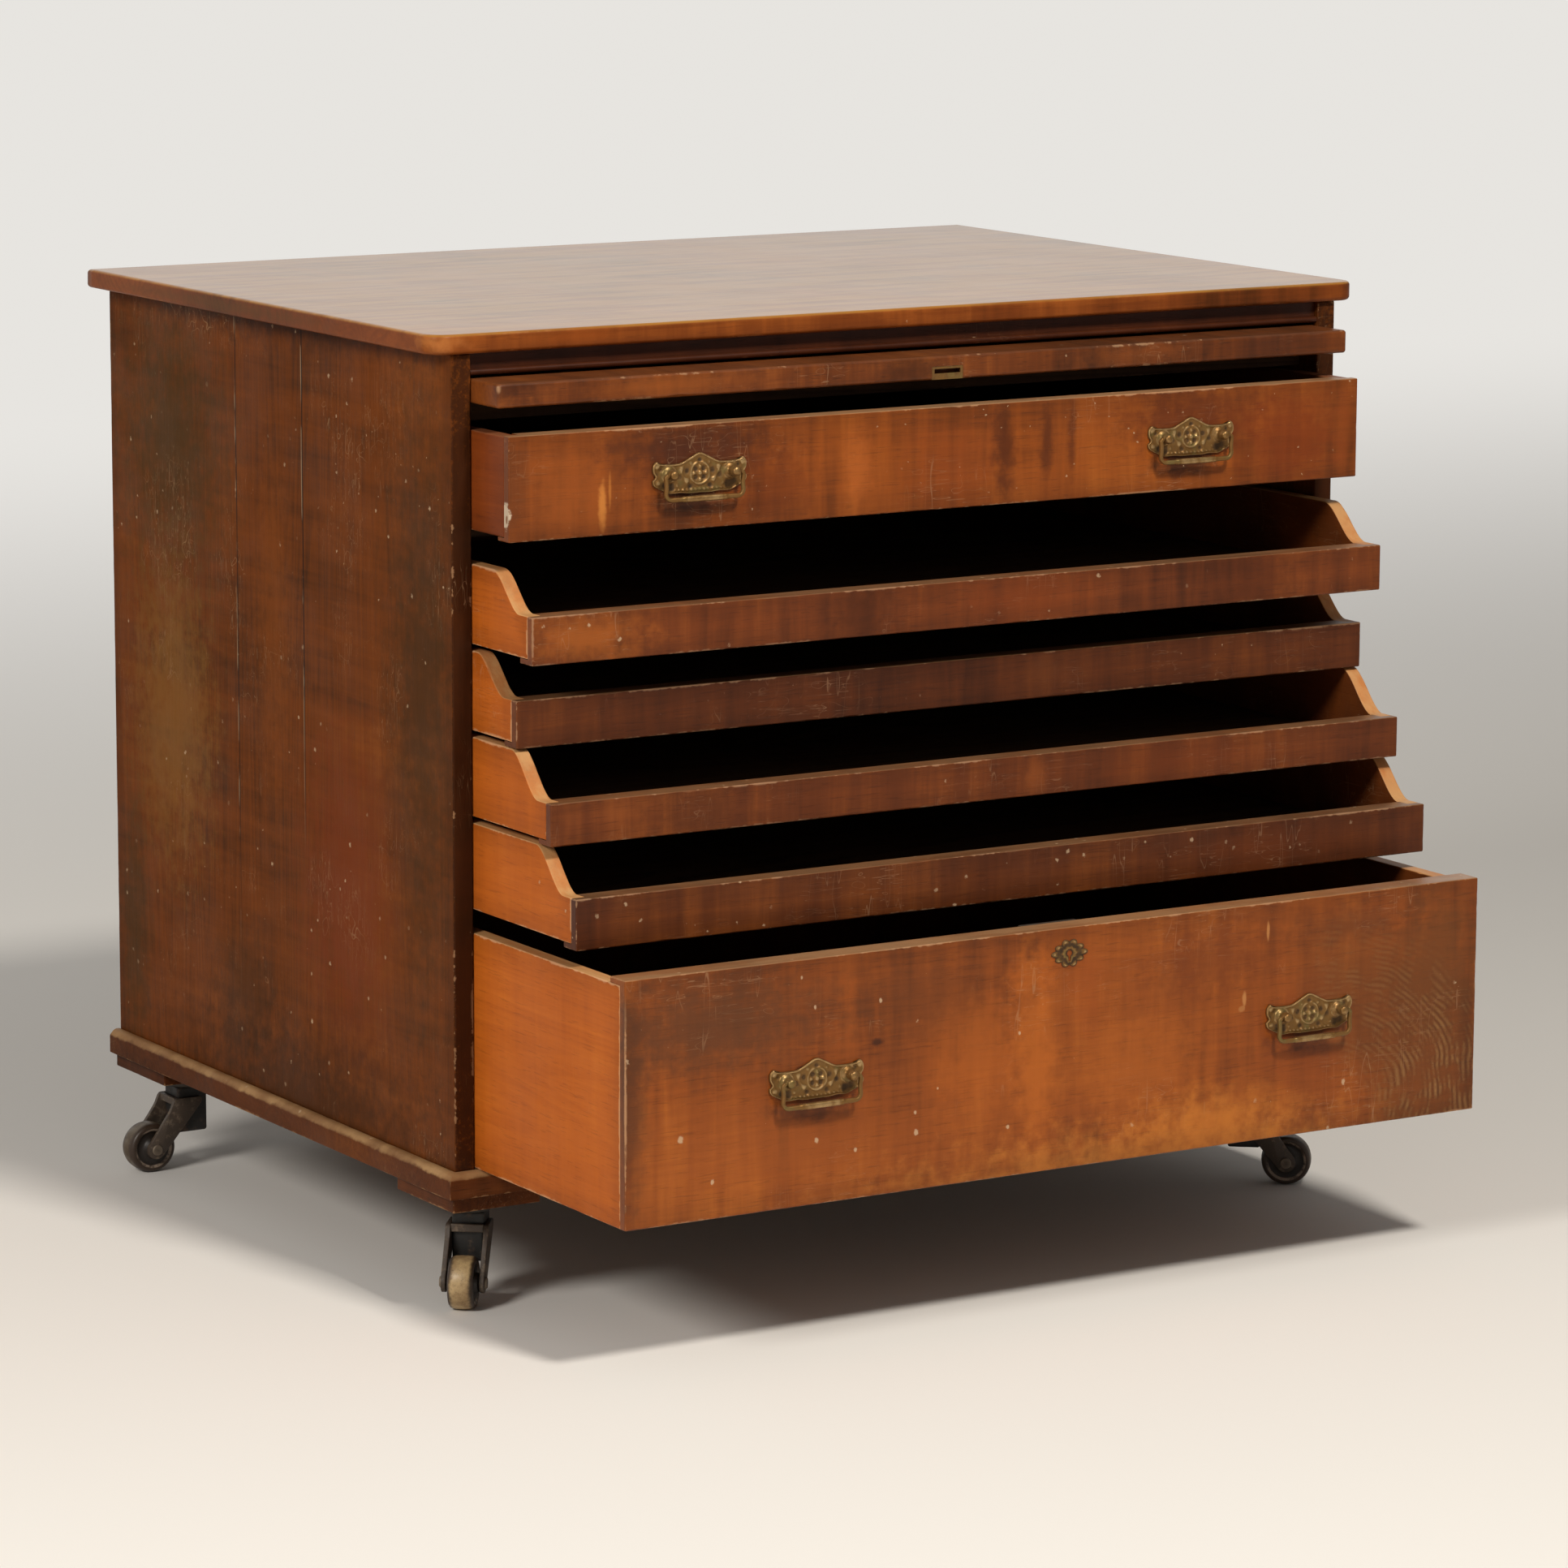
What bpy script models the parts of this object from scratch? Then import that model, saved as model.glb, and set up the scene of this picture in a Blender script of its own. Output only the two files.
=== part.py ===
"""A floor-standing flat file cabinet on castors, with its flap, drawers and trays drawn part way out.

Metres, +Z up, +X to the right along the front, and the front faces -Y.
The origin is on the floor, under the middle of the box that the whole cabinet fills at rest.
Each level in the carcase is the one below it plus a named height, so a changed height moves all that is above.
"""
import math

import bmesh
import bpy
from mathutils import Vector

# Gaps
SEAT_GAP = 0.0003            # left between faces that touch on the real cabinet
DRAWER_SIDE_PLAY = 0.0008    # between a drawer and the carcase side, each way
CUT_OVERRUN = 0.004          # how far a cutter passes the face that it opens

# Carcase
CARCASE_WIDTH = 1.020
CARCASE_DEPTH = 0.740
SIDE_THICKNESS = 0.021
BACK_THICKNESS = 0.009
TOP_THICKNESS = 0.019
TOP_SIDE_OVERHANG = 0.024
TOP_FRONT_OVERHANG = 0.007
TOP_CORNER_RADIUS = 0.022
TOP_EDGE_ROUND = 0.004
BOTTOM_BOARD_THICKNESS = 0.0255
DUST_BOARD_SETBACK = 0.076
LOWER_DUST_BOARD_THICKNESS = 0.014
UPPER_DUST_BOARD_THICKNESS = 0.0185
FLAP_SHELF_THICKNESS = 0.0195
FLAP_SHELF_SETBACK = 0.030
RAIL_HEIGHT = 0.015
RAIL_THICKNESS = 0.018
RAIL_SETBACK = 0.006
BEAD_HEIGHT = 0.006
BEAD_PROJECTION = 0.005

# Base
BASE_MOULDING_HEIGHT = 0.0255
BASE_MOULDING_PROJECTION = 0.012
BASE_MOULDING_CHAMFER = 0.005
BASE_MOULDING_DROP = 0.0005
BLOCK_HEIGHT = 0.0147
BLOCK_LENGTH = 0.115
BLOCK_WIDTH = 0.095
BLOCK_INSET = 0.007

# Castors
WHEEL_RADIUS = 0.026
WHEEL_WIDTH = 0.025
WHEEL_SHOULDER = 0.004
WHEEL_HUB_RADIUS = 0.011
WHEEL_HUB_STEP = 0.0030
AXLE_RADIUS = 0.0040
AXLE_CLEARANCE = 0.0004
CASTOR_SIDE_INSET = 0.050
CASTOR_FRONT_INSET = 0.062
CASTOR_BACK_INSET = 0.052
CASTOR_HEADINGS = {"front_left": -128.0, "front_right": -38.0, "rear_left": 180.0, "rear_right": -150.0}
FORK_CHEEK_THICKNESS = 0.005
FORK_INNER_WIDTH = 0.032
FORK_CHEEK_WIDTH = 0.020
FORK_CROWN_THICKNESS = 0.008
FORK_CROWN_CLEARANCE = 0.018
SWIVEL_BLOCK_SIZE = 0.034
SWIVEL_BLOCK_FOOT = 0.040
SWIVEL_BLOCK_RISE = 0.0178    # how far the block stands over the crown
SWIVEL_BLOCK_CLEARANCE = 0.001
SWIVEL_RACE_RADIUS = 0.021
SWIVEL_RACE_HEIGHT = 0.007
SWIVEL_STEM_RADIUS = 0.010
SWIVEL_STEM_LENGTH = 0.005
CASTOR_PLATE_SIZE = 0.064
CASTOR_PLATE_THICKNESS = 0.0026
SCREW_HEAD_RADIUS = 0.0040
SCREW_HEAD_HEIGHT = 0.0016
SCREW_INSET = 0.008

# Drawers and trays
FRONT_SETBACK = 0.046        # a shut front stands this far inside the carcase, to leave room for the hanging flap
BACK_STOP_GAP = 0.006
BACK_BOARD_THICKNESS = 0.012
BACK_BOARD_DROP = 0.006
BACK_BOARD_INSET = 0.004
BOTTOM_PANEL_THICKNESS = 0.005
BOTTOM_PANEL_RAISE = 0.005
BOTTOM_PANEL_TONGUE = 0.005
DRAWER_SIDE_THICKNESS = 0.016
FRONT_LAP = 0.009            # how much of a front's thickness covers the end of a side
TRAY_SIDE_THICKNESS = 0.015
TRAY_FRONT_THICKNESS = 0.024
TRAY_FRONT_HANG = 0.0055
TRAY_RAMP_LENGTH = 0.052
TRAY_RAMP_STEPS = 12
TRAY_HEADROOM = 0.0010
RUNNER_HEIGHT = 0.0050
RUNNER_WIDTH = 0.013
RUNNER_SETBACK = 0.080
RUNNER_RAIL_WIDTH = 0.040
TOP_DRAWER_FRONT_THICKNESS = 0.022
TOP_DRAWER_OPEN = 0.071
TOP_DRAWER_SIDE_HEIGHT = 0.0945
TOP_DRAWER_FRONT_LIP = 0.0010   # how far the front stands over the sides
TOP_DRAWER_FRONT_HANG = 0.0040
TOP_DRAWER_HEADROOM = 0.0040
ABOVE_TRAYS = 0.0134
DEEP_DRAWER_FRONT_THICKNESS = 0.028
DEEP_DRAWER_OPEN = 0.286
DEEP_DRAWER_SIDE_HEIGHT = 0.229
DEEP_DRAWER_FRONT_LIP = 0.006
DEEP_DRAWER_HEADROOM = 0.0027
TRAY_SIDE_HEIGHT = 0.0763
LOWEST_TRAY_SIDE_HEIGHT = 0.0835
TRAY_RAMP_DROP = 0.0363       # how far a tray's front lies below the top of its sides
LOW_TRAY_RAMP_DROP = 0.0413
LOWEST_TRAY_RAMP_DROP = 0.0405
TRAY_1_OPEN = 0.115
TRAY_2_OPEN = 0.084
TRAY_3_OPEN = 0.149
TRAY_4_OPEN = 0.196
TRAYS = (                    # from the top one down: name, how far out, side height, ramp drop
    ("tray_1", TRAY_1_OPEN, TRAY_SIDE_HEIGHT, TRAY_RAMP_DROP),
    ("tray_2", TRAY_2_OPEN, TRAY_SIDE_HEIGHT, TRAY_RAMP_DROP),
    ("tray_3", TRAY_3_OPEN, TRAY_SIDE_HEIGHT, LOW_TRAY_RAMP_DROP),
    ("tray_4", TRAY_4_OPEN, LOWEST_TRAY_SIDE_HEIGHT, LOWEST_TRAY_RAMP_DROP),
)

# Flap
FLAP_THICKNESS = 0.023
FLAP_LENGTH = 0.510
FLAP_OPEN = 0.051
FLAP_HEADROOM = 0.0030
FLAP_EDGE_ROUND = 0.003
FLAP_PIN_RADIUS = 0.0035
FLAP_PIN_INSET = 0.015
FLAP_PIN_REACH = 0.0050      # how far a pin runs into its groove
FLAP_GROOVE_DEPTH = 0.0070
FLAP_GROOVE_HEIGHT = 0.0090
FLAP_GROOVE_FRONT = 0.020
FLAP_GROOVE_SPARE = 0.020
FLAP_LOCK_WIDTH = 0.036
FLAP_LOCK_HEIGHT = 0.013
FLAP_LOCK_DEPTH = 0.040
FLAP_LOCK_OFFSET = 0.009
FLAP_BOLT_SLOT_HEIGHT = 0.0045
FLAP_BOLT_SLOT_DEPTH = 0.010
FLAP_BOLT_SLOT_MARGIN = 0.002

# Handles, lock and escutcheon
HANDLE_SPACING = 0.283       # from the middle of the front to each handle
HANDLE_PLATE_THICKNESS = 0.0022
HANDLE_PLATE_HALF_WIDTH = 0.052
HANDLE_PLATE_TOP = 0.0165
HANDLE_PLATE_FOOT = 0.0155
HANDLE_PEAK_RISE = 0.0065
HANDLE_POST_HALF_SPACING = 0.034
HANDLE_POST_RADIUS = 0.0050
HANDLE_POST_LENGTH = 0.0130
HANDLE_PIVOT_RAISE = 0.004
HANDLE_PIVOT_OUT = 0.0085
BAIL_STUB_LENGTH = 0.0032     # from the post's side to the middle of the bail's arm
BAIL_DROP = 0.0235
BAIL_ROD_RADIUS = 0.0022
BAIL_BAR_RADIUS = 0.0030
BAIL_CORNER_RADIUS = 0.0030
BAIL_FOOT_RADIUS = 0.008
BAIL_SIDES = 10
ESCUTCHEON_HALF_WIDTH = 0.021
ESCUTCHEON_HALF_HEIGHT = 0.014
ESCUTCHEON_THICKNESS = 0.0012
ESCUTCHEON_LOBES = 4
ESCUTCHEON_LOBE_SHARE = 0.22
ESCUTCHEON_BELOW_TOP = 0.025
KEYHOLE_RADIUS = 0.0030
KEYHOLE_SLOT_WIDTH = 0.0024
KEYHOLE_SLOT_LENGTH = 0.0075
DRAWER_LOCK_WIDTH = 0.064
DRAWER_LOCK_HEIGHT = 0.046
DRAWER_LOCK_THICKNESS = 0.012

# Faces on round work
ROUND_SEGMENTS = 32
SMALL_ROUND_SEGMENTS = 16
CORNER_SEGMENTS = 6
EDGE_SEGMENTS = 3

# Sizes that follow from those above
TOP_DRAWER_FRONT_RISE = TOP_DRAWER_SIDE_HEIGHT + TOP_DRAWER_FRONT_LIP
DEEP_DRAWER_FRONT_RISE = DEEP_DRAWER_SIDE_HEIGHT + DEEP_DRAWER_FRONT_LIP
BAIL_HALF_WIDTH = HANDLE_POST_HALF_SPACING + HANDLE_POST_RADIUS + SEAT_GAP + BAIL_STUB_LENGTH

# Levels, from the floor up
CASTOR_TRAIL = SWIVEL_BLOCK_SIZE / 2 + SWIVEL_BLOCK_CLEARANCE + WHEEL_RADIUS
FORK_CROWN_FOOT = 2 * WHEEL_RADIUS + FORK_CROWN_CLEARANCE
FORK_CROWN_TOP = FORK_CROWN_FOOT + FORK_CROWN_THICKNESS
SWIVEL_BLOCK_TOP = FORK_CROWN_TOP + SWIVEL_BLOCK_RISE
SWIVEL_STEM_TOP = SWIVEL_BLOCK_TOP + SWIVEL_STEM_LENGTH
CASTOR_PLATE_FOOT = SWIVEL_STEM_TOP + SEAT_GAP
CASTOR_PLATE_TOP = CASTOR_PLATE_FOOT + CASTOR_PLATE_THICKNESS
CASTOR_HEIGHT = CASTOR_PLATE_TOP + SEAT_GAP
HALF_WIDTH = CARCASE_WIDTH / 2
INNER_HALF_WIDTH = HALF_WIDTH - SIDE_THICKNESS
DRAWER_HALF_WIDTH = INNER_HALF_WIDTH - DRAWER_SIDE_PLAY
BLOCK_TOP = CASTOR_HEIGHT + BLOCK_HEIGHT
BASE_LEVEL = BLOCK_TOP + SEAT_GAP
BOTTOM_BOARD_TOP = BASE_LEVEL + BOTTOM_BOARD_THICKNESS
DEEP_DRAWER_LEVEL = BOTTOM_BOARD_TOP + SEAT_GAP
LOWER_DUST_BOARD_FOOT = DEEP_DRAWER_LEVEL + DEEP_DRAWER_FRONT_RISE + DEEP_DRAWER_HEADROOM
LOWER_DUST_BOARD_TOP = LOWER_DUST_BOARD_FOOT + LOWER_DUST_BOARD_THICKNESS


def tray_levels():
    """Level of each tray's side bottom, from tray 1 down: tray 4 lies on the dust board, and each tray
    above lies on runners over the one below."""
    levels = []
    level = LOWER_DUST_BOARD_TOP + SEAT_GAP
    for _, _, side_height, _ in reversed(TRAYS):
        levels.insert(0, level)
        level += side_height + TRAY_HEADROOM + RUNNER_HEIGHT + SEAT_GAP
    return levels


TRAY_LEVELS = tray_levels()
UPPER_DUST_BOARD_FOOT = TRAY_LEVELS[0] + TRAY_SIDE_HEIGHT + ABOVE_TRAYS
UPPER_DUST_BOARD_TOP = UPPER_DUST_BOARD_FOOT + UPPER_DUST_BOARD_THICKNESS
TOP_DRAWER_LEVEL = UPPER_DUST_BOARD_TOP + SEAT_GAP
FLAP_SHELF_FOOT = TOP_DRAWER_LEVEL + TOP_DRAWER_FRONT_RISE + TOP_DRAWER_HEADROOM
FLAP_LEVEL = FLAP_SHELF_FOOT + FLAP_SHELF_THICKNESS + SEAT_GAP
FLAP_PIN_LEVEL = FLAP_LEVEL + FLAP_THICKNESS / 2
BEAD_FOOT = FLAP_LEVEL + FLAP_THICKNESS + FLAP_HEADROOM
CARCASE_TOP = BEAD_FOOT + BEAD_HEIGHT + RAIL_HEIGHT
TOP_LEVEL = CARCASE_TOP + SEAT_GAP

# Depths, from the front edge of the carcase back
BACK_PANEL_FRONT = CARCASE_DEPTH - BACK_THICKNESS
BOARD_BACK = BACK_PANEL_FRONT - SEAT_GAP
SHORT_DRAWER_LENGTH = BACK_PANEL_FRONT - BACK_STOP_GAP - FRONT_SETBACK
DEEP_DRAWER_LENGTH = BACK_PANEL_FRONT - BACK_STOP_GAP
HANDLE_REACH = HANDLE_PLATE_THICKNESS + SEAT_GAP + HANDLE_POST_LENGTH
FRONT_REACH = DEEP_DRAWER_OPEN + HANDLE_REACH
CARCASE_SHIFT = (FRONT_REACH - CARCASE_DEPTH) / 2


def clear_scene():
    """Removes what the scene holds before the cabinet is made."""
    for thing in list(bpy.data.objects):
        bpy.data.objects.remove(thing, do_unlink=True)


def make_material(name, colour, roughness, metallic):
    """A material of one colour."""
    material = bpy.data.materials.new(name)
    material.use_nodes = True
    shader = material.node_tree.nodes["Principled BSDF"]
    shader.inputs["Base Color"].default_value = (*colour, 1.0)
    shader.inputs["Roughness"].default_value = roughness
    shader.inputs["Metallic"].default_value = metallic
    material.diffuse_color = (*colour, 1.0)
    return material


def make_frame(name, location, parent=None, turn=0.0):
    """An empty that carries one rigid body; turn is its angle about the vertical."""
    frame = bpy.data.objects.new(name, None)
    bpy.context.scene.collection.objects.link(frame)
    frame.parent = parent
    frame.location = location
    frame.rotation_euler = (0.0, 0.0, turn)
    return frame


def join_rings(bm, rings):
    """Joins a row of closed rings with faces, and closes its two ends."""
    bm.faces.new(rings[0])
    bm.faces.new(rings[-1])
    count = len(rings[0])
    for ring, following in zip(rings, rings[1:]):
        for k in range(count):
            m = (k + 1) % count
            bm.faces.new((ring[k], ring[m], following[m], following[k]))


def add_prism(bm, outline, axis, start, end):
    """Adds a prism: a closed outline in the plane across the axis, run from start to end along it.
    Outline points are (y, z) for axis x, (x, z) for axis y and (x, y) for axis z."""
    rings = []
    for place in (start, end):
        ring = []
        for a, b in outline:
            corner = {"x": (place, a, b), "y": (a, place, b), "z": (a, b, place)}[axis]
            ring.append(bm.verts.new(corner))
        rings.append(ring)
    join_rings(bm, rings)


def add_box(bm, low, high):
    """Adds a box between two corners."""
    outline = ((low[0], low[1]), (high[0], low[1]), (high[0], high[1]), (low[0], high[1]))
    add_prism(bm, outline, "z", low[2], high[2])


def add_ring(bm, profile, segments):
    """Adds a ring turned about the Y axis; profile points are (radius, y) round its closed section."""
    rings = []
    for i in range(segments):
        angle = math.tau * i / segments
        ring = [bm.verts.new((r * math.cos(angle), y, r * math.sin(angle))) for r, y in profile]
        rings.append(ring)
    count = len(profile)
    for i, ring in enumerate(rings):
        following = rings[(i + 1) % segments]
        for k in range(count):
            m = (k + 1) % count
            bm.faces.new((ring[k], ring[m], following[m], following[k]))


def add_sweep(bm, path, radii, sides):
    """Adds a round bar along a path in the XZ plane; each point has its own radius, and the ends are flat."""
    rings = []
    for i, (x, z) in enumerate(path):
        before = Vector(path[max(i - 1, 0)])
        after = Vector(path[min(i + 1, len(path) - 1)])
        along = (after - before).normalized()
        across = Vector((along.y, -along.x))
        ring = []
        for k in range(sides):
            angle = math.tau * k / sides
            shift = across * (radii[i] * math.cos(angle))
            ring.append(bm.verts.new((x + shift.x, radii[i] * math.sin(angle), z + shift.y)))
        rings.append(ring)
    join_rings(bm, rings)


def circle_outline(radius, segments, centre=(0.0, 0.0)):
    """A circle as a closed outline."""
    angles = [math.tau * i / segments for i in range(segments)]
    return [(centre[0] + radius * math.cos(a), centre[1] + radius * math.sin(a)) for a in angles]


def finish_mesh(name, bm):
    """Turns a bmesh into a mesh with its faces pointing out."""
    bmesh.ops.recalc_face_normals(bm, faces=bm.faces)
    mesh = bpy.data.meshes.new(name)
    bm.to_mesh(mesh)
    bm.free()
    return mesh


def make_node(name, bm, material, parent, smooth=False):
    """Makes one named piece, in its parent's frame."""
    mesh = finish_mesh(name, bm)
    mesh.materials.append(material)
    if smooth:
        mesh.shade_smooth()
        mesh.set_sharp_from_angle(angle=math.radians(35))
    node = bpy.data.objects.new(name, mesh)
    bpy.context.scene.collection.objects.link(node)
    node.parent = parent
    return node


def make_cutter(name, bm, parent):
    """Makes a tool for a Boolean modifier, which isn't part of the cabinet."""
    cutter = bpy.data.objects.new(name, finish_mesh(name, bm))
    bpy.context.scene.collection.objects.link(cutter)
    cutter.parent = parent
    cutter.hide_render = True
    cutter.display_type = "WIRE"
    return cutter


def combine(node, tool, operation):
    """Puts a Boolean modifier on a piece."""
    modifier = node.modifiers.new(operation.lower(), "BOOLEAN")
    modifier.operation = operation
    modifier.solver = "EXACT"
    modifier.object = tool


def mirrored(points):
    """The points followed by their mirror images in reverse order."""
    return list(points) + [(-a, b) for a, b in reversed(points)]


def top_outline(inset):
    """The top board's outline, drawn in by an inset: square at the back and rounded at the front corners."""
    side = HALF_WIDTH + TOP_SIDE_OVERHANG - inset
    front = -TOP_FRONT_OVERHANG + inset
    radius = TOP_CORNER_RADIUS - inset
    right = [(side, CARCASE_DEPTH - inset)]
    for i in range(CORNER_SEGMENTS + 1):
        angle = -math.pi / 2 * i / CORNER_SEGMENTS
        right.append((side - radius + radius * math.cos(angle), front + radius + radius * math.sin(angle)))
    return mirrored(right)


def make_top_board(material, parent):
    """The overhanging top, with its edges rounded over by quarter circles, above and below."""
    quarter = [math.pi / 2 * i / EDGE_SEGMENTS for i in range(EDGE_SEGMENTS + 1)]
    low = [(TOP_EDGE_ROUND * (1 - math.sin(a)), TOP_EDGE_ROUND * (1 - math.cos(a))) for a in quarter]
    high = [(inset, TOP_THICKNESS - height) for inset, height in reversed(low)]
    bm = bmesh.new()
    rings = []
    for inset, height in low + high:
        rings.append([bm.verts.new((x, y, TOP_LEVEL + height)) for x, y in top_outline(inset)])
    join_rings(bm, rings)
    make_node("top_board", bm, material, parent, smooth=True)


def make_side_panels(material, parent):
    """The two carcase sides, each with a groove on its inner face for the flap's pin."""
    groove_back = FLAP_LENGTH + FLAP_GROOVE_SPARE
    for name, sign in (("left", -1), ("right", 1)):
        inner, outer = sorted((sign * INNER_HALF_WIDTH, sign * HALF_WIDTH))
        bm = bmesh.new()
        add_box(bm, (inner, 0.0, BASE_LEVEL), (outer, CARCASE_DEPTH, CARCASE_TOP))
        panel = make_node(f"{name}_side_panel", bm, material, parent)
        groove_floor = INNER_HALF_WIDTH + FLAP_GROOVE_DEPTH
        near, far = sorted((sign * (INNER_HALF_WIDTH - CUT_OVERRUN), sign * groove_floor))
        half_groove = FLAP_GROOVE_HEIGHT / 2
        bm = bmesh.new()
        add_box(
            bm,
            (near, FLAP_GROOVE_FRONT, FLAP_PIN_LEVEL - half_groove),
            (far, groove_back, FLAP_PIN_LEVEL + half_groove),
        )
        combine(panel, make_cutter(f"{name}_groove_cutter", bm, parent), "DIFFERENCE")


def make_carcase_boards(material, parent):
    """The back, the bottom, the two dust boards and the flap's shelf, all housed between the sides."""
    half = INNER_HALF_WIDTH - SEAT_GAP
    boards = (
        ("back_panel", BACK_PANEL_FRONT, CARCASE_DEPTH, BASE_LEVEL, CARCASE_TOP),
        ("bottom_board", 0.0, BOARD_BACK, BASE_LEVEL, BOTTOM_BOARD_TOP),
        ("lower_dust_board", DUST_BOARD_SETBACK, BOARD_BACK, LOWER_DUST_BOARD_FOOT, LOWER_DUST_BOARD_TOP),
        ("upper_dust_board", DUST_BOARD_SETBACK, BOARD_BACK, UPPER_DUST_BOARD_FOOT, UPPER_DUST_BOARD_TOP),
        ("flap_shelf", FLAP_SHELF_SETBACK, BOARD_BACK, FLAP_SHELF_FOOT, FLAP_LEVEL - SEAT_GAP),
    )
    for name, front, back, foot, top in boards:
        bm = bmesh.new()
        add_box(bm, (-half, front, foot), (half, back, top))
        make_node(name, bm, material, parent)


def make_top_rail(material, parent):
    """The rail over the flap, with a bead worked along its lower edge, whose nose is a half circle."""
    nose = BEAD_HEIGHT / 2
    front = RAIL_SETBACK - BEAD_PROJECTION + nose
    back = RAIL_SETBACK + RAIL_THICKNESS
    outline = [(back, CARCASE_TOP), (back, BEAD_FOOT)]
    for i in range(CORNER_SEGMENTS + 1):
        angle = -math.pi / 2 - math.pi * i / CORNER_SEGMENTS
        outline.append((front + nose * math.cos(angle), BEAD_FOOT + nose + nose * math.sin(angle)))
    outline += [(RAIL_SETBACK, BEAD_FOOT + BEAD_HEIGHT), (RAIL_SETBACK, CARCASE_TOP)]
    half = INNER_HALF_WIDTH - SEAT_GAP
    bm = bmesh.new()
    add_prism(bm, outline, "x", -half, half)
    make_node("top_rail", bm, material, parent)


def make_runner_frames(material, parent):
    """A frame under each of trays 1 to 3: a strip along each side, which the tray's sides slide on, and a rail
    across the back that joins the two."""
    outer = INNER_HALF_WIDTH - SEAT_GAP
    inner = outer - RUNNER_WIDTH
    rail_front = BOARD_BACK - RUNNER_RAIL_WIDTH
    outline = mirrored([(outer, BOARD_BACK), (outer, RUNNER_SETBACK), (inner, RUNNER_SETBACK), (inner, rail_front)])
    for tray, level in zip(TRAYS[:-1], TRAY_LEVELS):
        top = level - SEAT_GAP
        bm = bmesh.new()
        add_prism(bm, outline, "z", top - RUNNER_HEIGHT, top)
        make_node(f"{tray[0]}_runner_frame", bm, material, parent)


def moulding_section():
    """The base moulding's section, as (distance out from the carcase, height)."""
    top = BOTTOM_BOARD_TOP - BASE_MOULDING_DROP
    foot = top - BASE_MOULDING_HEIGHT + BASE_MOULDING_DROP
    out = SEAT_GAP + BASE_MOULDING_PROJECTION
    return [
        (SEAT_GAP, foot),
        (out, foot),
        (out, top - BASE_MOULDING_CHAMFER),
        (out - BASE_MOULDING_CHAMFER, top),
        (SEAT_GAP, top),
    ]


def make_base_moulding(material, parent):
    """The moulding round the foot of the carcase, mitred at the front corners: its section run along the left
    side, the front and the right side."""
    section = moulding_section()
    stations = (
        lambda out: (-HALF_WIDTH - out, CARCASE_DEPTH),
        lambda out: (-HALF_WIDTH - out, -out),
        lambda out: (HALF_WIDTH + out, -out),
        lambda out: (HALF_WIDTH + out, CARCASE_DEPTH),
    )
    bm = bmesh.new()
    rings = [[bm.verts.new((*station(out), z)) for out, z in section] for station in stations]
    join_rings(bm, rings)
    make_node("base_moulding", bm, material, parent)


def castor_places():
    """Where each castor's swivel axis meets the floor."""
    side = HALF_WIDTH - CASTOR_SIDE_INSET
    back = CARCASE_DEPTH - CASTOR_BACK_INSET
    return {
        "front_left": (-side, CASTOR_FRONT_INSET),
        "front_right": (side, CASTOR_FRONT_INSET),
        "rear_left": (-side, back),
        "rear_right": (side, back),
    }


def make_castor_mounts(wood, metal, parent):
    """The four corner blocks, and under each one a castor's plate with the heads of its four screws."""
    outer = HALF_WIDTH + BASE_MOULDING_PROJECTION - BLOCK_INSET
    reach = CASTOR_PLATE_SIZE / 2
    offset = reach - SCREW_INSET
    for name, (x, y) in castor_places().items():
        near, far = sorted((math.copysign(outer, x), math.copysign(outer - BLOCK_WIDTH, x)))
        front = BLOCK_INSET - BASE_MOULDING_PROJECTION
        if name.startswith("rear"):
            front = CARCASE_DEPTH - BLOCK_LENGTH
        bm = bmesh.new()
        add_box(bm, (near, front, CASTOR_HEIGHT), (far, front + BLOCK_LENGTH, BLOCK_TOP))
        make_node(f"{name}_corner_block", bm, wood, parent)
        bm = bmesh.new()
        add_box(bm, (x - reach, y - reach, CASTOR_PLATE_FOOT), (x + reach, y + reach, CASTOR_PLATE_TOP))
        plate = make_node(f"{name}_castor_plate", bm, metal, parent)
        bm = bmesh.new()
        for dx in (-offset, offset):
            for dy in (-offset, offset):
                head = circle_outline(SCREW_HEAD_RADIUS, SMALL_ROUND_SEGMENTS, (x + dx, y + dy))
                head_foot = CASTOR_PLATE_FOOT - SCREW_HEAD_HEIGHT
                add_prism(bm, head, "z", head_foot, CASTOR_PLATE_FOOT + CASTOR_PLATE_THICKNESS / 2)
        combine(plate, make_cutter(f"{name}_screw_heads", bm, parent), "UNION")


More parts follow.
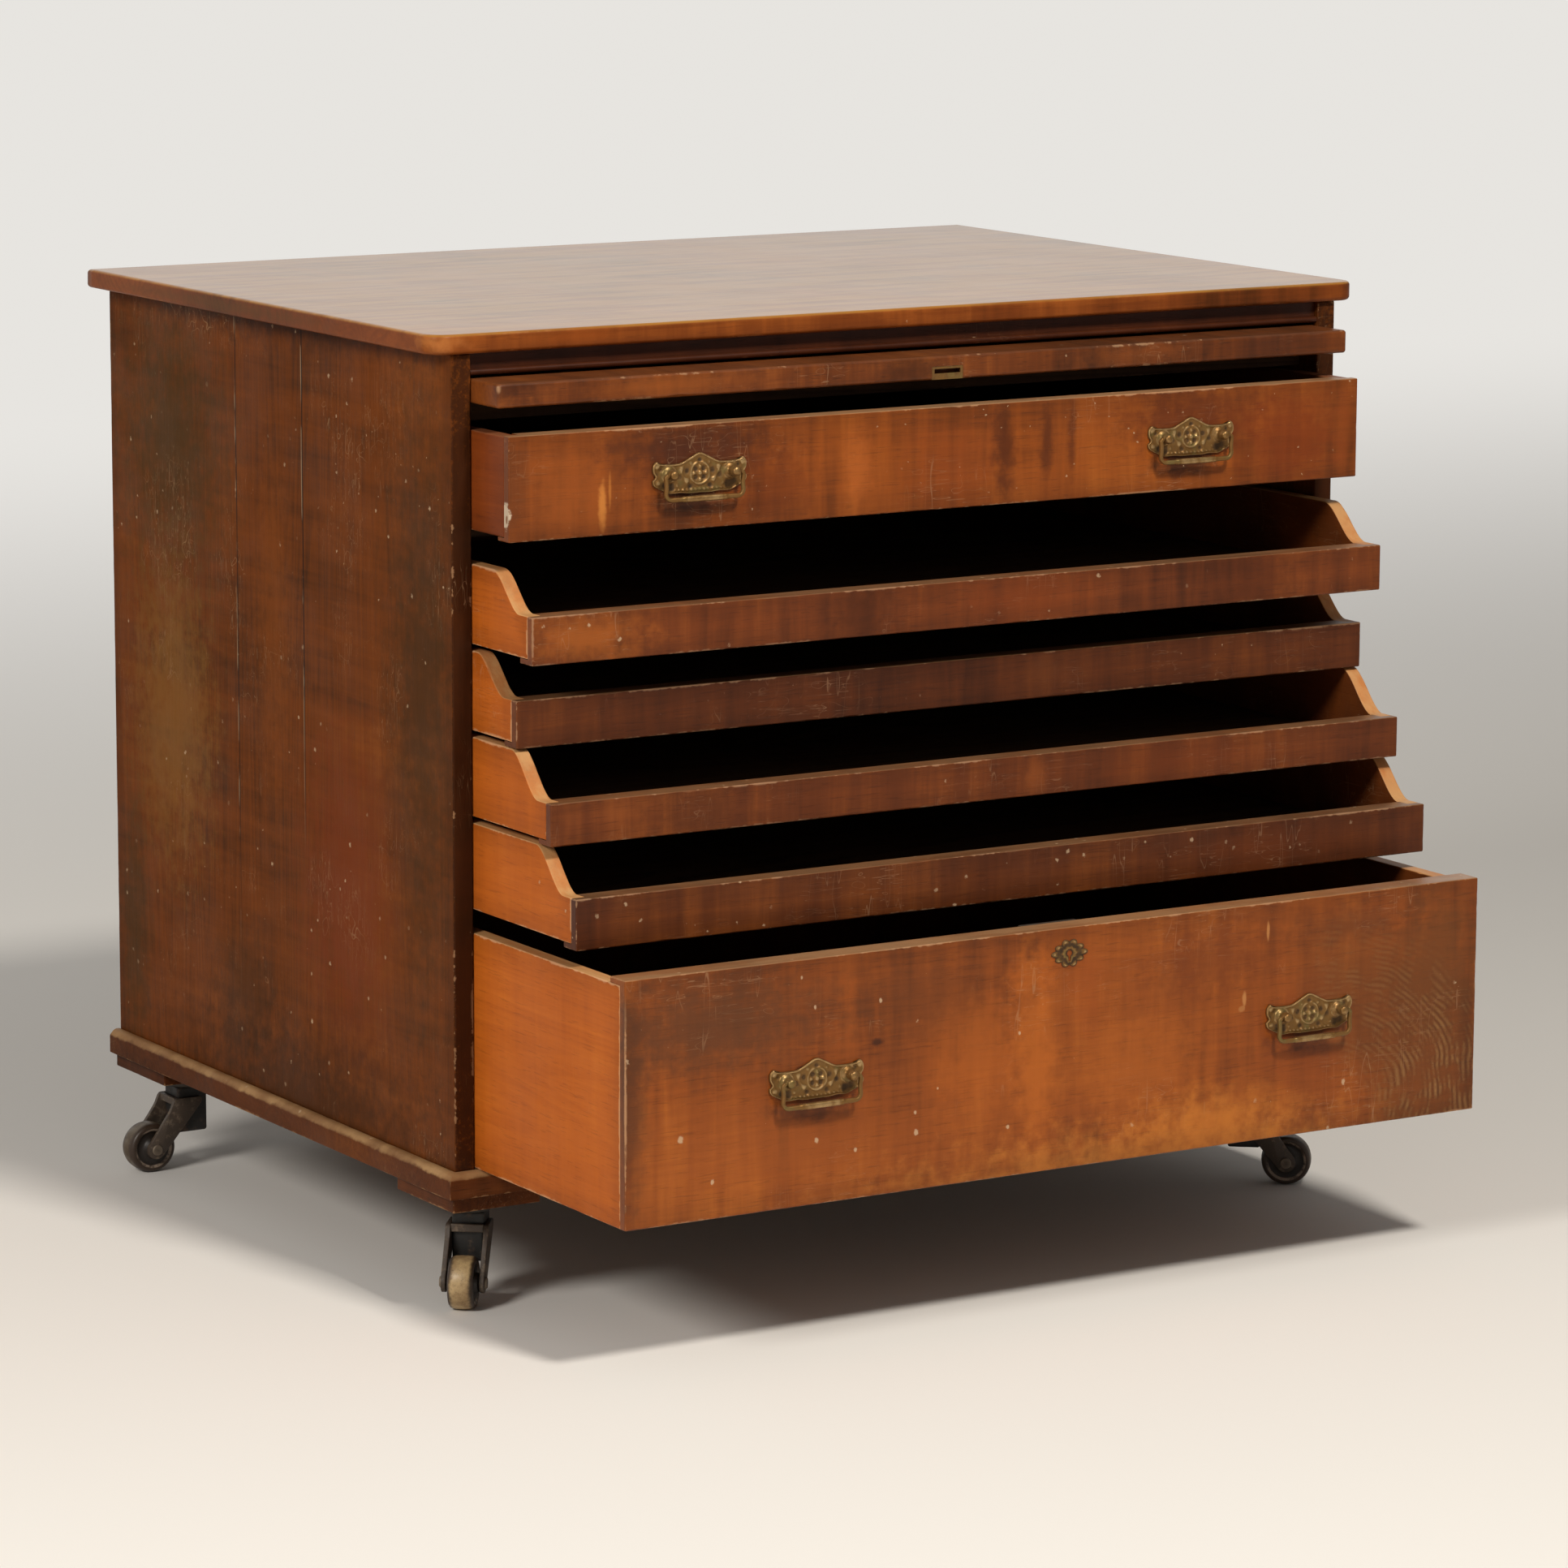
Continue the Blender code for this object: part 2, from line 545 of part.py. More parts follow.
def make_castor_fork(name, metal, frame):
    """A castor's fork: a swivel block with a round race and a stem, a crown, two sloping cheeks and the axle.
    Its frame stands on the swivel axis, with +X towards the wheel."""
    half_block = SWIVEL_BLOCK_SIZE / 2
    inner = FORK_INNER_WIDTH / 2
    outer = inner + FORK_CHEEK_THICKNESS
    bm = bmesh.new()
    add_box(bm, (-half_block, -half_block, SWIVEL_BLOCK_FOOT), (half_block, half_block, SWIVEL_BLOCK_TOP))
    fork = make_node(f"{name}_fork", bm, metal, frame)
    bm = bmesh.new()
    stem = circle_outline(SWIVEL_STEM_RADIUS, SMALL_ROUND_SEGMENTS)
    add_prism(bm, stem, "z", SWIVEL_BLOCK_TOP - CUT_OVERRUN, SWIVEL_STEM_TOP)
    combine(fork, make_cutter(f"{name}_stem", bm, frame), "UNION")
    bm = bmesh.new()
    race = circle_outline(SWIVEL_RACE_RADIUS, ROUND_SEGMENTS)
    add_prism(bm, race, "z", SWIVEL_BLOCK_TOP - SWIVEL_RACE_HEIGHT, SWIVEL_BLOCK_TOP)
    combine(fork, make_cutter(f"{name}_race", bm, frame), "UNION")
    bm = bmesh.new()
    crown_reach = inner + FORK_CHEEK_THICKNESS / 2
    add_box(bm, (0.0, -crown_reach, FORK_CROWN_FOOT), (CASTOR_TRAIL / 2, crown_reach, FORK_CROWN_TOP))
    combine(fork, make_cutter(f"{name}_crown", bm, frame), "UNION")
    half_cheek = FORK_CHEEK_WIDTH / 2
    cheek = [(-half_block / 2, FORK_CROWN_TOP), (-half_block / 2, FORK_CROWN_FOOT)]
    for i in range(CORNER_SEGMENTS + 1):
        angle = -math.pi * 3 / 4 + math.pi * i / CORNER_SEGMENTS
        cheek.append((CASTOR_TRAIL + half_cheek * math.cos(angle), WHEEL_RADIUS + half_cheek * math.sin(angle)))
    cheek.append((CASTOR_TRAIL / 2, FORK_CROWN_TOP))
    for side, sign in (("left", -1), ("right", 1)):
        near, far = sorted((sign * inner, sign * outer))
        bm = bmesh.new()
        add_prism(bm, cheek, "y", near, far)
        combine(fork, make_cutter(f"{name}_{side}_cheek", bm, frame), "UNION")
    bm = bmesh.new()
    reach = outer + FORK_CHEEK_THICKNESS / 2
    axle = circle_outline(AXLE_RADIUS, SMALL_ROUND_SEGMENTS, (CASTOR_TRAIL, WHEEL_RADIUS))
    add_prism(bm, axle, "y", -reach, reach)
    combine(fork, make_cutter(f"{name}_axle", bm, frame), "UNION")


def make_castor_wheel(name, material, frame):
    """A castor's wheel, turned about its axle: a rounded tread, flat faces and a raised hub with a bore."""
    bore = AXLE_RADIUS + AXLE_CLEARANCE
    half = WHEEL_WIDTH / 2
    right = [
        (bore, half + WHEEL_HUB_STEP),
        (WHEEL_HUB_RADIUS, half + WHEEL_HUB_STEP),
        (WHEEL_HUB_RADIUS, half),
        (WHEEL_RADIUS - WHEEL_SHOULDER, half),
        (WHEEL_RADIUS, half - WHEEL_SHOULDER),
    ]
    profile = right + [(r, -y) for r, y in reversed(right)]
    bm = bmesh.new()
    add_ring(bm, profile, ROUND_SEGMENTS)
    make_node(f"{name}_wheel", bm, material, frame, smooth=True)


def make_castors(metal, rubber, carcase):
    """The four castors, each turned its own way."""
    for name, (x, y) in castor_places().items():
        turn = math.radians(CASTOR_HEADINGS[name])
        fork_frame = make_frame(f"{name}_castor", (x, y, 0.0), carcase, turn)
        wheel_frame = make_frame(f"{name}_axle", (CASTOR_TRAIL, 0.0, WHEEL_RADIUS), fork_frame)
        make_castor_fork(name, metal, fork_frame)
        make_castor_wheel(name, rubber, wheel_frame)


def make_flap(wood, brass, steel, carcase):
    """The fall flap, slid part way out on its shelf, with a lock in its front edge and a rod through its rear
    edge, whose ends run in the grooves of the side panels."""
    frame = make_frame("flap", (0.0, -FLAP_OPEN, FLAP_LEVEL), carcase)
    nose = FLAP_EDGE_ROUND
    outline = [(FLAP_LENGTH, FLAP_THICKNESS), (FLAP_LENGTH, 0.0)]
    for foot, first in ((nose, -math.pi / 2), (FLAP_THICKNESS - nose, math.pi)):
        for i in range(EDGE_SEGMENTS + 1):
            angle = first - math.pi / 2 * i / EDGE_SEGMENTS
            outline.append((nose + nose * math.cos(angle), foot + nose * math.sin(angle)))
    half = DRAWER_HALF_WIDTH
    bm = bmesh.new()
    add_prism(bm, outline, "x", -half, half)
    board = make_node("flap_board", bm, wood, frame)
    lock_left = FLAP_LOCK_OFFSET - FLAP_LOCK_WIDTH / 2
    lock_right = FLAP_LOCK_OFFSET + FLAP_LOCK_WIDTH / 2
    bm = bmesh.new()
    add_box(
        bm,
        (lock_left - SEAT_GAP, -CUT_OVERRUN, -CUT_OVERRUN),
        (lock_right + SEAT_GAP, FLAP_LOCK_DEPTH + SEAT_GAP, FLAP_LOCK_HEIGHT + SEAT_GAP),
    )
    combine(board, make_cutter("flap_lock_pocket", bm, frame), "DIFFERENCE")
    bm = bmesh.new()
    add_box(bm, (lock_left, 0.0, 0.0), (lock_right, FLAP_LOCK_DEPTH, FLAP_LOCK_HEIGHT))
    lock = make_node("flap_lock", bm, brass, frame)
    slot_top = FLAP_LOCK_HEIGHT - FLAP_BOLT_SLOT_MARGIN
    bm = bmesh.new()
    add_box(
        bm,
        (lock_left + FLAP_BOLT_SLOT_MARGIN, -CUT_OVERRUN, slot_top - FLAP_BOLT_SLOT_HEIGHT),
        (lock_right - FLAP_BOLT_SLOT_MARGIN, FLAP_BOLT_SLOT_DEPTH, slot_top),
    )
    combine(lock, make_cutter("flap_bolt_slot", bm, frame), "DIFFERENCE")
    rod_place = (FLAP_LENGTH - FLAP_PIN_INSET, FLAP_THICKNESS / 2)
    bm = bmesh.new()
    bore = circle_outline(FLAP_PIN_RADIUS + SEAT_GAP, SMALL_ROUND_SEGMENTS, rod_place)
    add_prism(bm, bore, "x", -half - CUT_OVERRUN, half + CUT_OVERRUN)
    combine(board, make_cutter("flap_rod_bore", bm, frame), "DIFFERENCE")
    bm = bmesh.new()
    reach = INNER_HALF_WIDTH + FLAP_PIN_REACH
    add_prism(bm, circle_outline(FLAP_PIN_RADIUS, SMALL_ROUND_SEGMENTS, rod_place), "x", -reach, reach)
    make_node("flap_pivot_rod", bm, steel, frame)


def ogee(share):
    """The height share of a tray side's front slope at a share of its length: level at both ends."""
    return share * share * (3 - 2 * share)


def side_outline(end, front, length, side_height, front_rise, ramp_length):
    """A drawer side's outline in (y, z), from its end in the front's notch. With a ramp, its top runs down to
    the front's height in an ogee behind the front."""
    outline = [(end, 0.0)]
    if ramp_length:
        drop = side_height - front_rise
        outline.append((end, front_rise))
        for i in range(TRAY_RAMP_STEPS + 1):
            share = i / TRAY_RAMP_STEPS
            outline.append((front + share * ramp_length, front_rise + ogee(share) * drop))
    else:
        outline.append((end, side_height))
    outline += [(length, side_height), (length, 0.0)]
    return outline


def make_drawer(name, level, spec, woods, carcase):
    """A drawer or tray: its front, notched for the ends of its sides, its two sides joined to its back, and a
    bottom panel held in grooves. Its frame is at the middle of the front's outer face, level with the bottom
    of its sides."""
    front_wood, side_wood, bottom_wood = woods
    frame = make_frame(name, (0.0, -spec["open"], level), carcase)
    half = DRAWER_HALF_WIDTH
    front_thickness = spec["front_thickness"]
    side_thickness = spec["side_thickness"]
    length = spec["length"]
    inner = half - side_thickness
    side_front = front_thickness + SEAT_GAP
    bm = bmesh.new()
    add_box(bm, (-half, 0.0, -spec["front_hang"]), (half, front_thickness, spec["front_rise"]))
    front = make_node(f"{name}_front", bm, front_wood, frame)
    has_lip = spec["front_rise"] - spec["side_height"] > FRONT_LAP / 2
    notch_top = spec["side_height"] + SEAT_GAP if has_lip else spec["front_rise"] + CUT_OVERRUN
    for side, sign in (("left", -1), ("right", 1)):
        near, far = sorted((sign * (inner - SEAT_GAP), sign * (half + CUT_OVERRUN)))
        bm = bmesh.new()
        add_box(bm, (near, FRONT_LAP, -SEAT_GAP), (far, front_thickness + CUT_OVERRUN, notch_top))
        combine(front, make_cutter(f"{name}_{side}_notch", bm, frame), "DIFFERENCE")
    panel_top = BOTTOM_PANEL_RAISE + BOTTOM_PANEL_THICKNESS
    board_back = length - BACK_BOARD_INSET
    bm = bmesh.new()
    add_box(
        bm,
        (-inner - side_thickness / 2, board_back - BACK_BOARD_THICKNESS, panel_top + SEAT_GAP),
        (inner + side_thickness / 2, board_back, spec["side_height"] - BACK_BOARD_DROP),
    )
    sides = make_node(f"{name}_sides", bm, side_wood, frame)
    end = FRONT_LAP + SEAT_GAP
    outline = side_outline(end, side_front, length, spec["side_height"], spec["front_rise"], spec["ramp_length"])
    for side, sign in (("left", -1), ("right", 1)):
        near, far = sorted((sign * inner, sign * half))
        bm = bmesh.new()
        add_prism(bm, outline, "x", near, far)
        combine(sides, make_cutter(f"{name}_{side}_side", bm, frame), "UNION")
    reach = inner + BOTTOM_PANEL_TONGUE
    panel_front = front_thickness - BOTTOM_PANEL_TONGUE
    bm = bmesh.new()
    add_box(
        bm,
        (-reach - SEAT_GAP, panel_front - SEAT_GAP, BOTTOM_PANEL_RAISE - SEAT_GAP),
        (reach + SEAT_GAP, length + CUT_OVERRUN, panel_top + SEAT_GAP),
    )
    groove = make_cutter(f"{name}_groove_cutter", bm, frame)
    combine(front, groove, "DIFFERENCE")
    combine(sides, groove, "DIFFERENCE")
    bm = bmesh.new()
    add_box(bm, (-reach, panel_front, BOTTOM_PANEL_RAISE), (reach, length, panel_top))
    make_node(f"{name}_bottom", bm, bottom_wood, frame)
    return frame


def handle_plate_outline(x, z):
    """A handle plate's outline about (x, z): straight foot, rounded ends, a small ear at each upper corner and
    a low peak in the middle of its upper edge."""
    wide = HANDLE_PLATE_HALF_WIDTH
    high = HANDLE_PLATE_TOP
    foot = HANDLE_PLATE_FOOT
    width_shares = (0.0, 0.62, 0.80, 1.00, 0.93, 1.00, 0.90, 0.80, 0.55, 0.30)
    level_shares = (-1.0, -1.0, -0.75, -0.25, 0.10, 0.55, 1.00, 0.85, 0.80, 1.00)
    right = []
    for width_share, level_share in zip(width_shares, level_shares):
        level = level_share * (high if level_share > 0 else foot)
        right.append((width_share * wide, level))
    peak = (0.0, high + HANDLE_PEAK_RISE)
    left = [(-a, b) for a, b in reversed(right[1:])]
    return [(x + a, z + b) for a, b in right + [peak] + left]


def bail_path():
    """A bail's centre line in (x, z) from its pivot: out from the post, down, and along the bar to the other."""
    start = HANDLE_POST_HALF_SPACING + HANDLE_POST_RADIUS + SEAT_GAP
    half = BAIL_HALF_WIDTH
    right = [(start, 0.0)]
    for radius, centre_x, centre_z, first in (
        (BAIL_CORNER_RADIUS, half - BAIL_CORNER_RADIUS, -BAIL_CORNER_RADIUS, math.pi / 2),
        (BAIL_FOOT_RADIUS, half - BAIL_FOOT_RADIUS, -BAIL_DROP + BAIL_FOOT_RADIUS, 0.0),
    ):
        for i in range(EDGE_SEGMENTS + 1):
            angle = first - math.pi / 2 * i / EDGE_SEGMENTS
            right.append((centre_x + radius * math.cos(angle), centre_z + radius * math.sin(angle)))
    bar_start = BAIL_HALF_WIDTH - BAIL_FOOT_RADIUS
    right.append((bar_start / 2, -BAIL_DROP))
    path = right + [(-a, b) for a, b in reversed(right)]
    radii = [BAIL_BAR_RADIUS if abs(x) < bar_start - SEAT_GAP else BAIL_ROD_RADIUS for x, z in path]
    return path, radii


def make_handles(name, middle, brass, frame):
    """A drawer's two drop handles: a plate with two posts each, and a bail that hangs from the posts."""
    plate_back = -SEAT_GAP
    plate_front = plate_back - HANDLE_PLATE_THICKNESS
    pivot_level = middle + HANDLE_PIVOT_RAISE
    path, radii = bail_path()
    for side, sign in (("left", -1), ("right", 1)):
        centre = sign * HANDLE_SPACING
        bm = bmesh.new()
        add_prism(bm, handle_plate_outline(centre, middle), "y", plate_front, plate_back)
        plate = make_node(f"{name}_{side}_handle_plate", bm, brass, frame)
        bm = bmesh.new()
        for post_sign in (-1, 1):
            place = (centre + post_sign * HANDLE_POST_HALF_SPACING, pivot_level)
            post = circle_outline(HANDLE_POST_RADIUS, SMALL_ROUND_SEGMENTS, place)
            add_prism(bm, post, "y", plate_front - HANDLE_POST_LENGTH, plate_front + HANDLE_PLATE_THICKNESS / 2)
        combine(plate, make_cutter(f"{name}_{side}_handle_posts", bm, frame), "UNION")
        pivot = make_frame(f"{name}_{side}_pivot", (centre, plate_front - HANDLE_PIVOT_OUT, pivot_level), frame)
        bm = bmesh.new()
        add_sweep(bm, path, radii, BAIL_SIDES)
        make_node(f"{name}_{side}_bail", bm, brass, pivot, smooth=True)


def make_drawer_lock(level, brass, steel, frame):
    """The deep drawer's keyhole escutcheon on its front, and the lock behind it."""
    outline = []
    for i in range(ROUND_SEGMENTS):
        angle = math.tau * i / ROUND_SEGMENTS
        swell = 1 - ESCUTCHEON_LOBE_SHARE * (1 - math.cos(ESCUTCHEON_LOBES * angle)) / 2
        wide = ESCUTCHEON_HALF_WIDTH * swell
        high = ESCUTCHEON_HALF_HEIGHT * swell
        outline.append((wide * math.cos(angle), level + high * math.sin(angle)))
    plate_front = -SEAT_GAP - ESCUTCHEON_THICKNESS
    bm = bmesh.new()
    add_prism(bm, outline, "y", plate_front, -SEAT_GAP)
    escutcheon = make_node("bottom_drawer_escutcheon", bm, brass, frame)
    half_slot = KEYHOLE_SLOT_WIDTH / 2
    keyhole = [(half_slot, level - KEYHOLE_SLOT_LENGTH)]
    first = math.asin(half_slot / KEYHOLE_RADIUS)
    for i in range(SMALL_ROUND_SEGMENTS + 1):
        angle = -math.pi / 2 + first + (math.tau - 2 * first) * i / SMALL_ROUND_SEGMENTS
        keyhole.append((KEYHOLE_RADIUS * math.cos(angle), level + KEYHOLE_RADIUS * math.sin(angle)))
    keyhole.append((-half_slot, level - KEYHOLE_SLOT_LENGTH))
    bm = bmesh.new()
    add_prism(bm, keyhole, "y", plate_front - CUT_OVERRUN, CUT_OVERRUN)
    combine(escutcheon, make_cutter("keyhole_cutter", bm, frame), "DIFFERENCE")
    lock_front = DEEP_DRAWER_FRONT_THICKNESS + SEAT_GAP
    half = DRAWER_LOCK_WIDTH / 2
    bm = bmesh.new()
    add_box(
        bm,
        (-half, lock_front, level - DRAWER_LOCK_HEIGHT / 2),
        (half, lock_front + DRAWER_LOCK_THICKNESS, level + DRAWER_LOCK_HEIGHT / 2),
    )
    make_node("bottom_drawer_lock", bm, steel, frame)


def main():
    """Makes the whole cabinet."""
    clear_scene()
    dark_wood = make_material("dark_mahogany", (0.070, 0.030, 0.016), 0.38, 0.0)
    front_wood = make_material("figured_mahogany", (0.190, 0.062, 0.026), 0.32, 0.0)
    side_wood = make_material("drawer_side_cedar", (0.400, 0.135, 0.035), 0.45, 0.0)
    pale_wood = make_material("drawer_bottom_pine", (0.330, 0.190, 0.090), 0.60, 0.0)
    brass = make_material("old_brass", (0.330, 0.225, 0.075), 0.38, 0.9)
    steel = make_material("dark_steel", (0.045, 0.042, 0.040), 0.45, 0.7)
    rubber = make_material("castor_tread", (0.290, 0.235, 0.150), 0.60, 0.0)

    carcase = make_frame("carcase", (0.0, CARCASE_SHIFT, 0.0))
    make_top_board(front_wood, carcase)
    make_side_panels(dark_wood, carcase)
    make_carcase_boards(pale_wood, carcase)
    make_top_rail(dark_wood, carcase)
    make_runner_frames(pale_wood, carcase)
    make_base_moulding(dark_wood, carcase)
    make_castor_mounts(dark_wood, steel, carcase)
    make_castors(steel, rubber, carcase)
    make_flap(front_wood, brass, steel, carcase)

    woods = (front_wood, side_wood, pale_wood)
    top_drawer = make_drawer(
        "top_drawer",
        TOP_DRAWER_LEVEL,
        {
            "open": TOP_DRAWER_OPEN,
            "length": SHORT_DRAWER_LENGTH,
            "side_height": TOP_DRAWER_SIDE_HEIGHT,
            "side_thickness": DRAWER_SIDE_THICKNESS,
            "front_thickness": TOP_DRAWER_FRONT_THICKNESS,
            "front_rise": TOP_DRAWER_FRONT_RISE,
            "front_hang": TOP_DRAWER_FRONT_HANG,
            "ramp_length": 0.0,
        },
        woods,
        carcase,
    )
    make_handles("top_drawer", (TOP_DRAWER_FRONT_RISE - TOP_DRAWER_FRONT_HANG) / 2, brass, top_drawer)
    for (name, distance_out, side_height, ramp_drop), level in zip(TRAYS, TRAY_LEVELS):
        make_drawer(
            name,
            level,
            {
                "open": distance_out,
                "length": SHORT_DRAWER_LENGTH,
                "side_height": side_height,
                "side_thickness": TRAY_SIDE_THICKNESS,
                "front_thickness": TRAY_FRONT_THICKNESS,
                "front_rise": side_height - ramp_drop,
                "front_hang": TRAY_FRONT_HANG,
                "ramp_length": TRAY_RAMP_LENGTH,
            },
            woods,
            carcase,
        )
    deep_drawer = make_drawer(
        "bottom_drawer",
        DEEP_DRAWER_LEVEL,
        {
            "open": DEEP_DRAWER_OPEN,
            "length": DEEP_DRAWER_LENGTH,
            "side_height": DEEP_DRAWER_SIDE_HEIGHT,
            "side_thickness": DRAWER_SIDE_THICKNESS,
            "front_thickness": DEEP_DRAWER_FRONT_THICKNESS,
            "front_rise": DEEP_DRAWER_FRONT_RISE,
            "front_hang": 0.0,
            "ramp_length": 0.0,
        },
        woods,
        carcase,
    )
    make_handles("bottom_drawer", DEEP_DRAWER_FRONT_RISE / 2, brass, deep_drawer)
    make_drawer_lock(DEEP_DRAWER_FRONT_RISE - ESCUTCHEON_BELOW_TOP, brass, steel, deep_drawer)


main()
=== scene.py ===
"""The looks of an old mahogany flat file cabinet on castors, with its flap, drawers and trays part way out.

Every length is in metres. The cabinet faces -Y, +X runs to the right along its front, and +Z is up.
The sections follow the cabinet as it is put together: carcase, base, drawers and trays, flap, brasses, locks
and castors, and then the studio that it stands in.
"""
import math

import bpy
import numpy as np
from mathutils import Matrix, Vector


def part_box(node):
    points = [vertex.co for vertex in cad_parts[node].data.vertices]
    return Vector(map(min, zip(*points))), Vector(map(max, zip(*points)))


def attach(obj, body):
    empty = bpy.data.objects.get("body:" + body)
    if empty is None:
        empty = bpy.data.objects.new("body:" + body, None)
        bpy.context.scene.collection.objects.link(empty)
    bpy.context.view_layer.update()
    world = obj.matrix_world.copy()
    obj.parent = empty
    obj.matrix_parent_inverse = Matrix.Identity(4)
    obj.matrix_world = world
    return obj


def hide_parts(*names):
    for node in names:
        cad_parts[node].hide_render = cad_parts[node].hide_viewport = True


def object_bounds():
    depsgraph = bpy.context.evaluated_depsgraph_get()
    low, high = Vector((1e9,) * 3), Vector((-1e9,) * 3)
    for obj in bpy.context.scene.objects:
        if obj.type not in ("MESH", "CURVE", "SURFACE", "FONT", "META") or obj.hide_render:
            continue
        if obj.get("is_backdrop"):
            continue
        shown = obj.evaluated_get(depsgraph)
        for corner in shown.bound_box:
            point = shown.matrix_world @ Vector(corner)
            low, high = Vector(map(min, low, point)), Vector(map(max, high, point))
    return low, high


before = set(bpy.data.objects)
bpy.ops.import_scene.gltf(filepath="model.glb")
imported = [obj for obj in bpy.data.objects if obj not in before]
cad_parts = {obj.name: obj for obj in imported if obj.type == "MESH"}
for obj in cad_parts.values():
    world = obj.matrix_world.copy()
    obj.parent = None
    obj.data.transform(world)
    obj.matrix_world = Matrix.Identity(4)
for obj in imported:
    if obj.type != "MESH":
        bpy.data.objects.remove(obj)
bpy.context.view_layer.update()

# The two carcase sides.
# Each is a board of dark stained mahogany, 21 mm thick, with its grain upright and its old varnish scratched
# and flecked. On the inner face a long groove takes the end of the flap's pivot rod.


def grid_lines(low, high, arris, step, extra=()):
    """Where the grid lines cross one side of a board: three close together round each arris, so that they
    turn it in equal angles, one just inside it, and the rest evenly spaced, with any extra ones asked for."""
    turn = arris * (1 - np.tan(np.linspace(math.pi / 4, 0, 4)))
    turn = np.append(turn, arris * 1.5)
    count = max(2, int(math.ceil((high - low - 3 * arris) / step)) + 1)
    middle = np.linspace(low + 1.5 * arris, high - 1.5 * arris, count)
    return np.unique(np.concatenate([low + turn, middle, high - turn, list(extra)]).round(6))


def board_surface(low, high, arris=0.0012, step=0.008, extra=((), (), ())):
    """A board: the six faces of a block laid out on grids that share their edges. A point is kept at the
    arris radius from the smaller block inside it, so each edge and corner is a piece of a cylinder or a
    ball."""
    low, high = np.array(low, float), np.array(high, float)
    lines = [grid_lines(low[a], high[a], arris, step, extra[a]) for a in range(3)]
    sizes = [len(line) for line in lines]
    faces = []
    for axis in range(3):
        u, v = [a for a in range(3) if a != axis]
        iu, iv = np.meshgrid(np.arange(sizes[u] - 1), np.arange(sizes[v] - 1), indexing="ij")
        for end in (0, sizes[axis] - 1):
            ring = []
            for du, dv in ((0, 0), (1, 0), (1, 1), (0, 1)):
                place = [None, None, None]
                place[axis], place[u], place[v] = np.full_like(iu, end), iu + du, iv + dv
                ring.append((place[0] * sizes[1] + place[1]) * sizes[2] + place[2])
            quads = np.stack(ring, -1).reshape(-1, 4)
            faces.append(quads[:, ::-1] if (end == 0) == (axis != 1) else quads)
    keys, faces = np.unique(np.concatenate(faces), return_inverse=True)
    i, rest = np.divmod(keys, sizes[1] * sizes[2])
    j, k = np.divmod(rest, sizes[2])
    points = np.stack([lines[0][i], lines[1][j], lines[2][k]], -1)
    core = np.clip(points, low + arris, high - arris)
    out = points - core
    points = core + out / np.linalg.norm(out, axis=1, keepdims=True) * arris
    return points, [faces.reshape(-1, 4)]


def unevenness(points, seed, scale):
    """A smooth bumpy value between about -1 and 1 at each point: twelve plane waves with seeded directions,
    added up, about one bump in each scale length."""
    dice = np.random.default_rng(seed)
    ways = dice.normal(size=(12, 3))
    ways *= dice.uniform(0.5, 1.6, (12, 1)) / np.linalg.norm(ways, axis=1, keepdims=True)
    phases = dice.uniform(0, math.tau, 12)
    return np.sin(points @ ways.T * math.tau / scale + phases).sum(1) / 5


def knocked(points, low, high, seed, depth=0.0011, arris=0.0012):
    """Dents along a board's edges: where a point lies on the rounding and the bumpy value is high, the point
    moves towards the board's inside by up to the depth, most on the sharpest part of the edge."""
    low, high = np.array(low, float), np.array(high, float)
    core = np.clip(points, low + arris, high - arris)
    out = points - core
    away = np.abs(out) / arris
    edge = np.clip(np.sort(away, axis=1)[:, 1] / 0.7, 0, 1)
    bumps = unevenness(points, seed, 0.045) * 0.6 + unevenness(points, seed + 1, 0.013) * 0.5
    bumps = np.clip(bumps - 0.25, 0, 1)
    return points - out / arris * (edge * bumps * depth)[:, None]


def make_piece(name, points, faces, body, material, replaced=(), sharp=None, fields=None):
    """Puts points and faces into a mesh object that rides on a body, stands for the replaced nodes, and takes
    the material given. Faces is a list of arrays, one for each number of corners that the faces have.
    Edges sharper than an angle in degrees may be kept sharp, and a field gives a value to each point."""
    mesh = bpy.data.meshes.new(name)
    mesh.from_pydata(points.tolist(), [], [row for part in faces for row in part.tolist()])
    mesh.update()
    mesh.materials.append(material)
    mesh.shade_smooth()
    if sharp:
        mesh.set_sharp_from_angle(angle=math.radians(sharp))
    for label, values in (fields or {}).items():
        mesh.attributes.new(label, "FLOAT", "POINT").data.foreach_set("value", np.asarray(values, np.float32))
    piece = bpy.data.objects.new(name, mesh)
    bpy.context.scene.collection.objects.link(piece)
    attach(piece, body)
    if replaced:
        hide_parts(*replaced)
    return piece


def merged(*surfaces):
    """Several surfaces as one: their points one after another, and each one's faces counted on from there."""
    points, faces, start = [], [], 0
    for more_points, more_faces in surfaces:
        points.append(more_points)
        faces += [part + start for part in more_faces]
        start += len(more_points)
    return np.concatenate(points), faces


def feed(node, inputs):
    """Fills a node's inputs, each from another node's output or with a value. A colour is given by its red,
    green and blue."""
    for key, value in inputs.items():
        socket = node.inputs[key]
        if isinstance(value, bpy.types.NodeSocket):
            node.id_data.links.new(value, socket)
        else:
            socket.default_value = (*value, 1.0) if socket.type == "RGBA" else value


def wire(kind, inputs, tree=None, **settings):
    """Adds a shader node, sets it up and fills its inputs. It goes into the tree that its inputs come from,
    unless a tree is given."""
    if tree is None:
        tree = next(value.id_data for value in inputs.values() if isinstance(value, bpy.types.NodeSocket))
    made = tree.nodes.new(kind)
    for key, value in settings.items():
        setattr(made, key, value)
    feed(made, inputs)
    return made


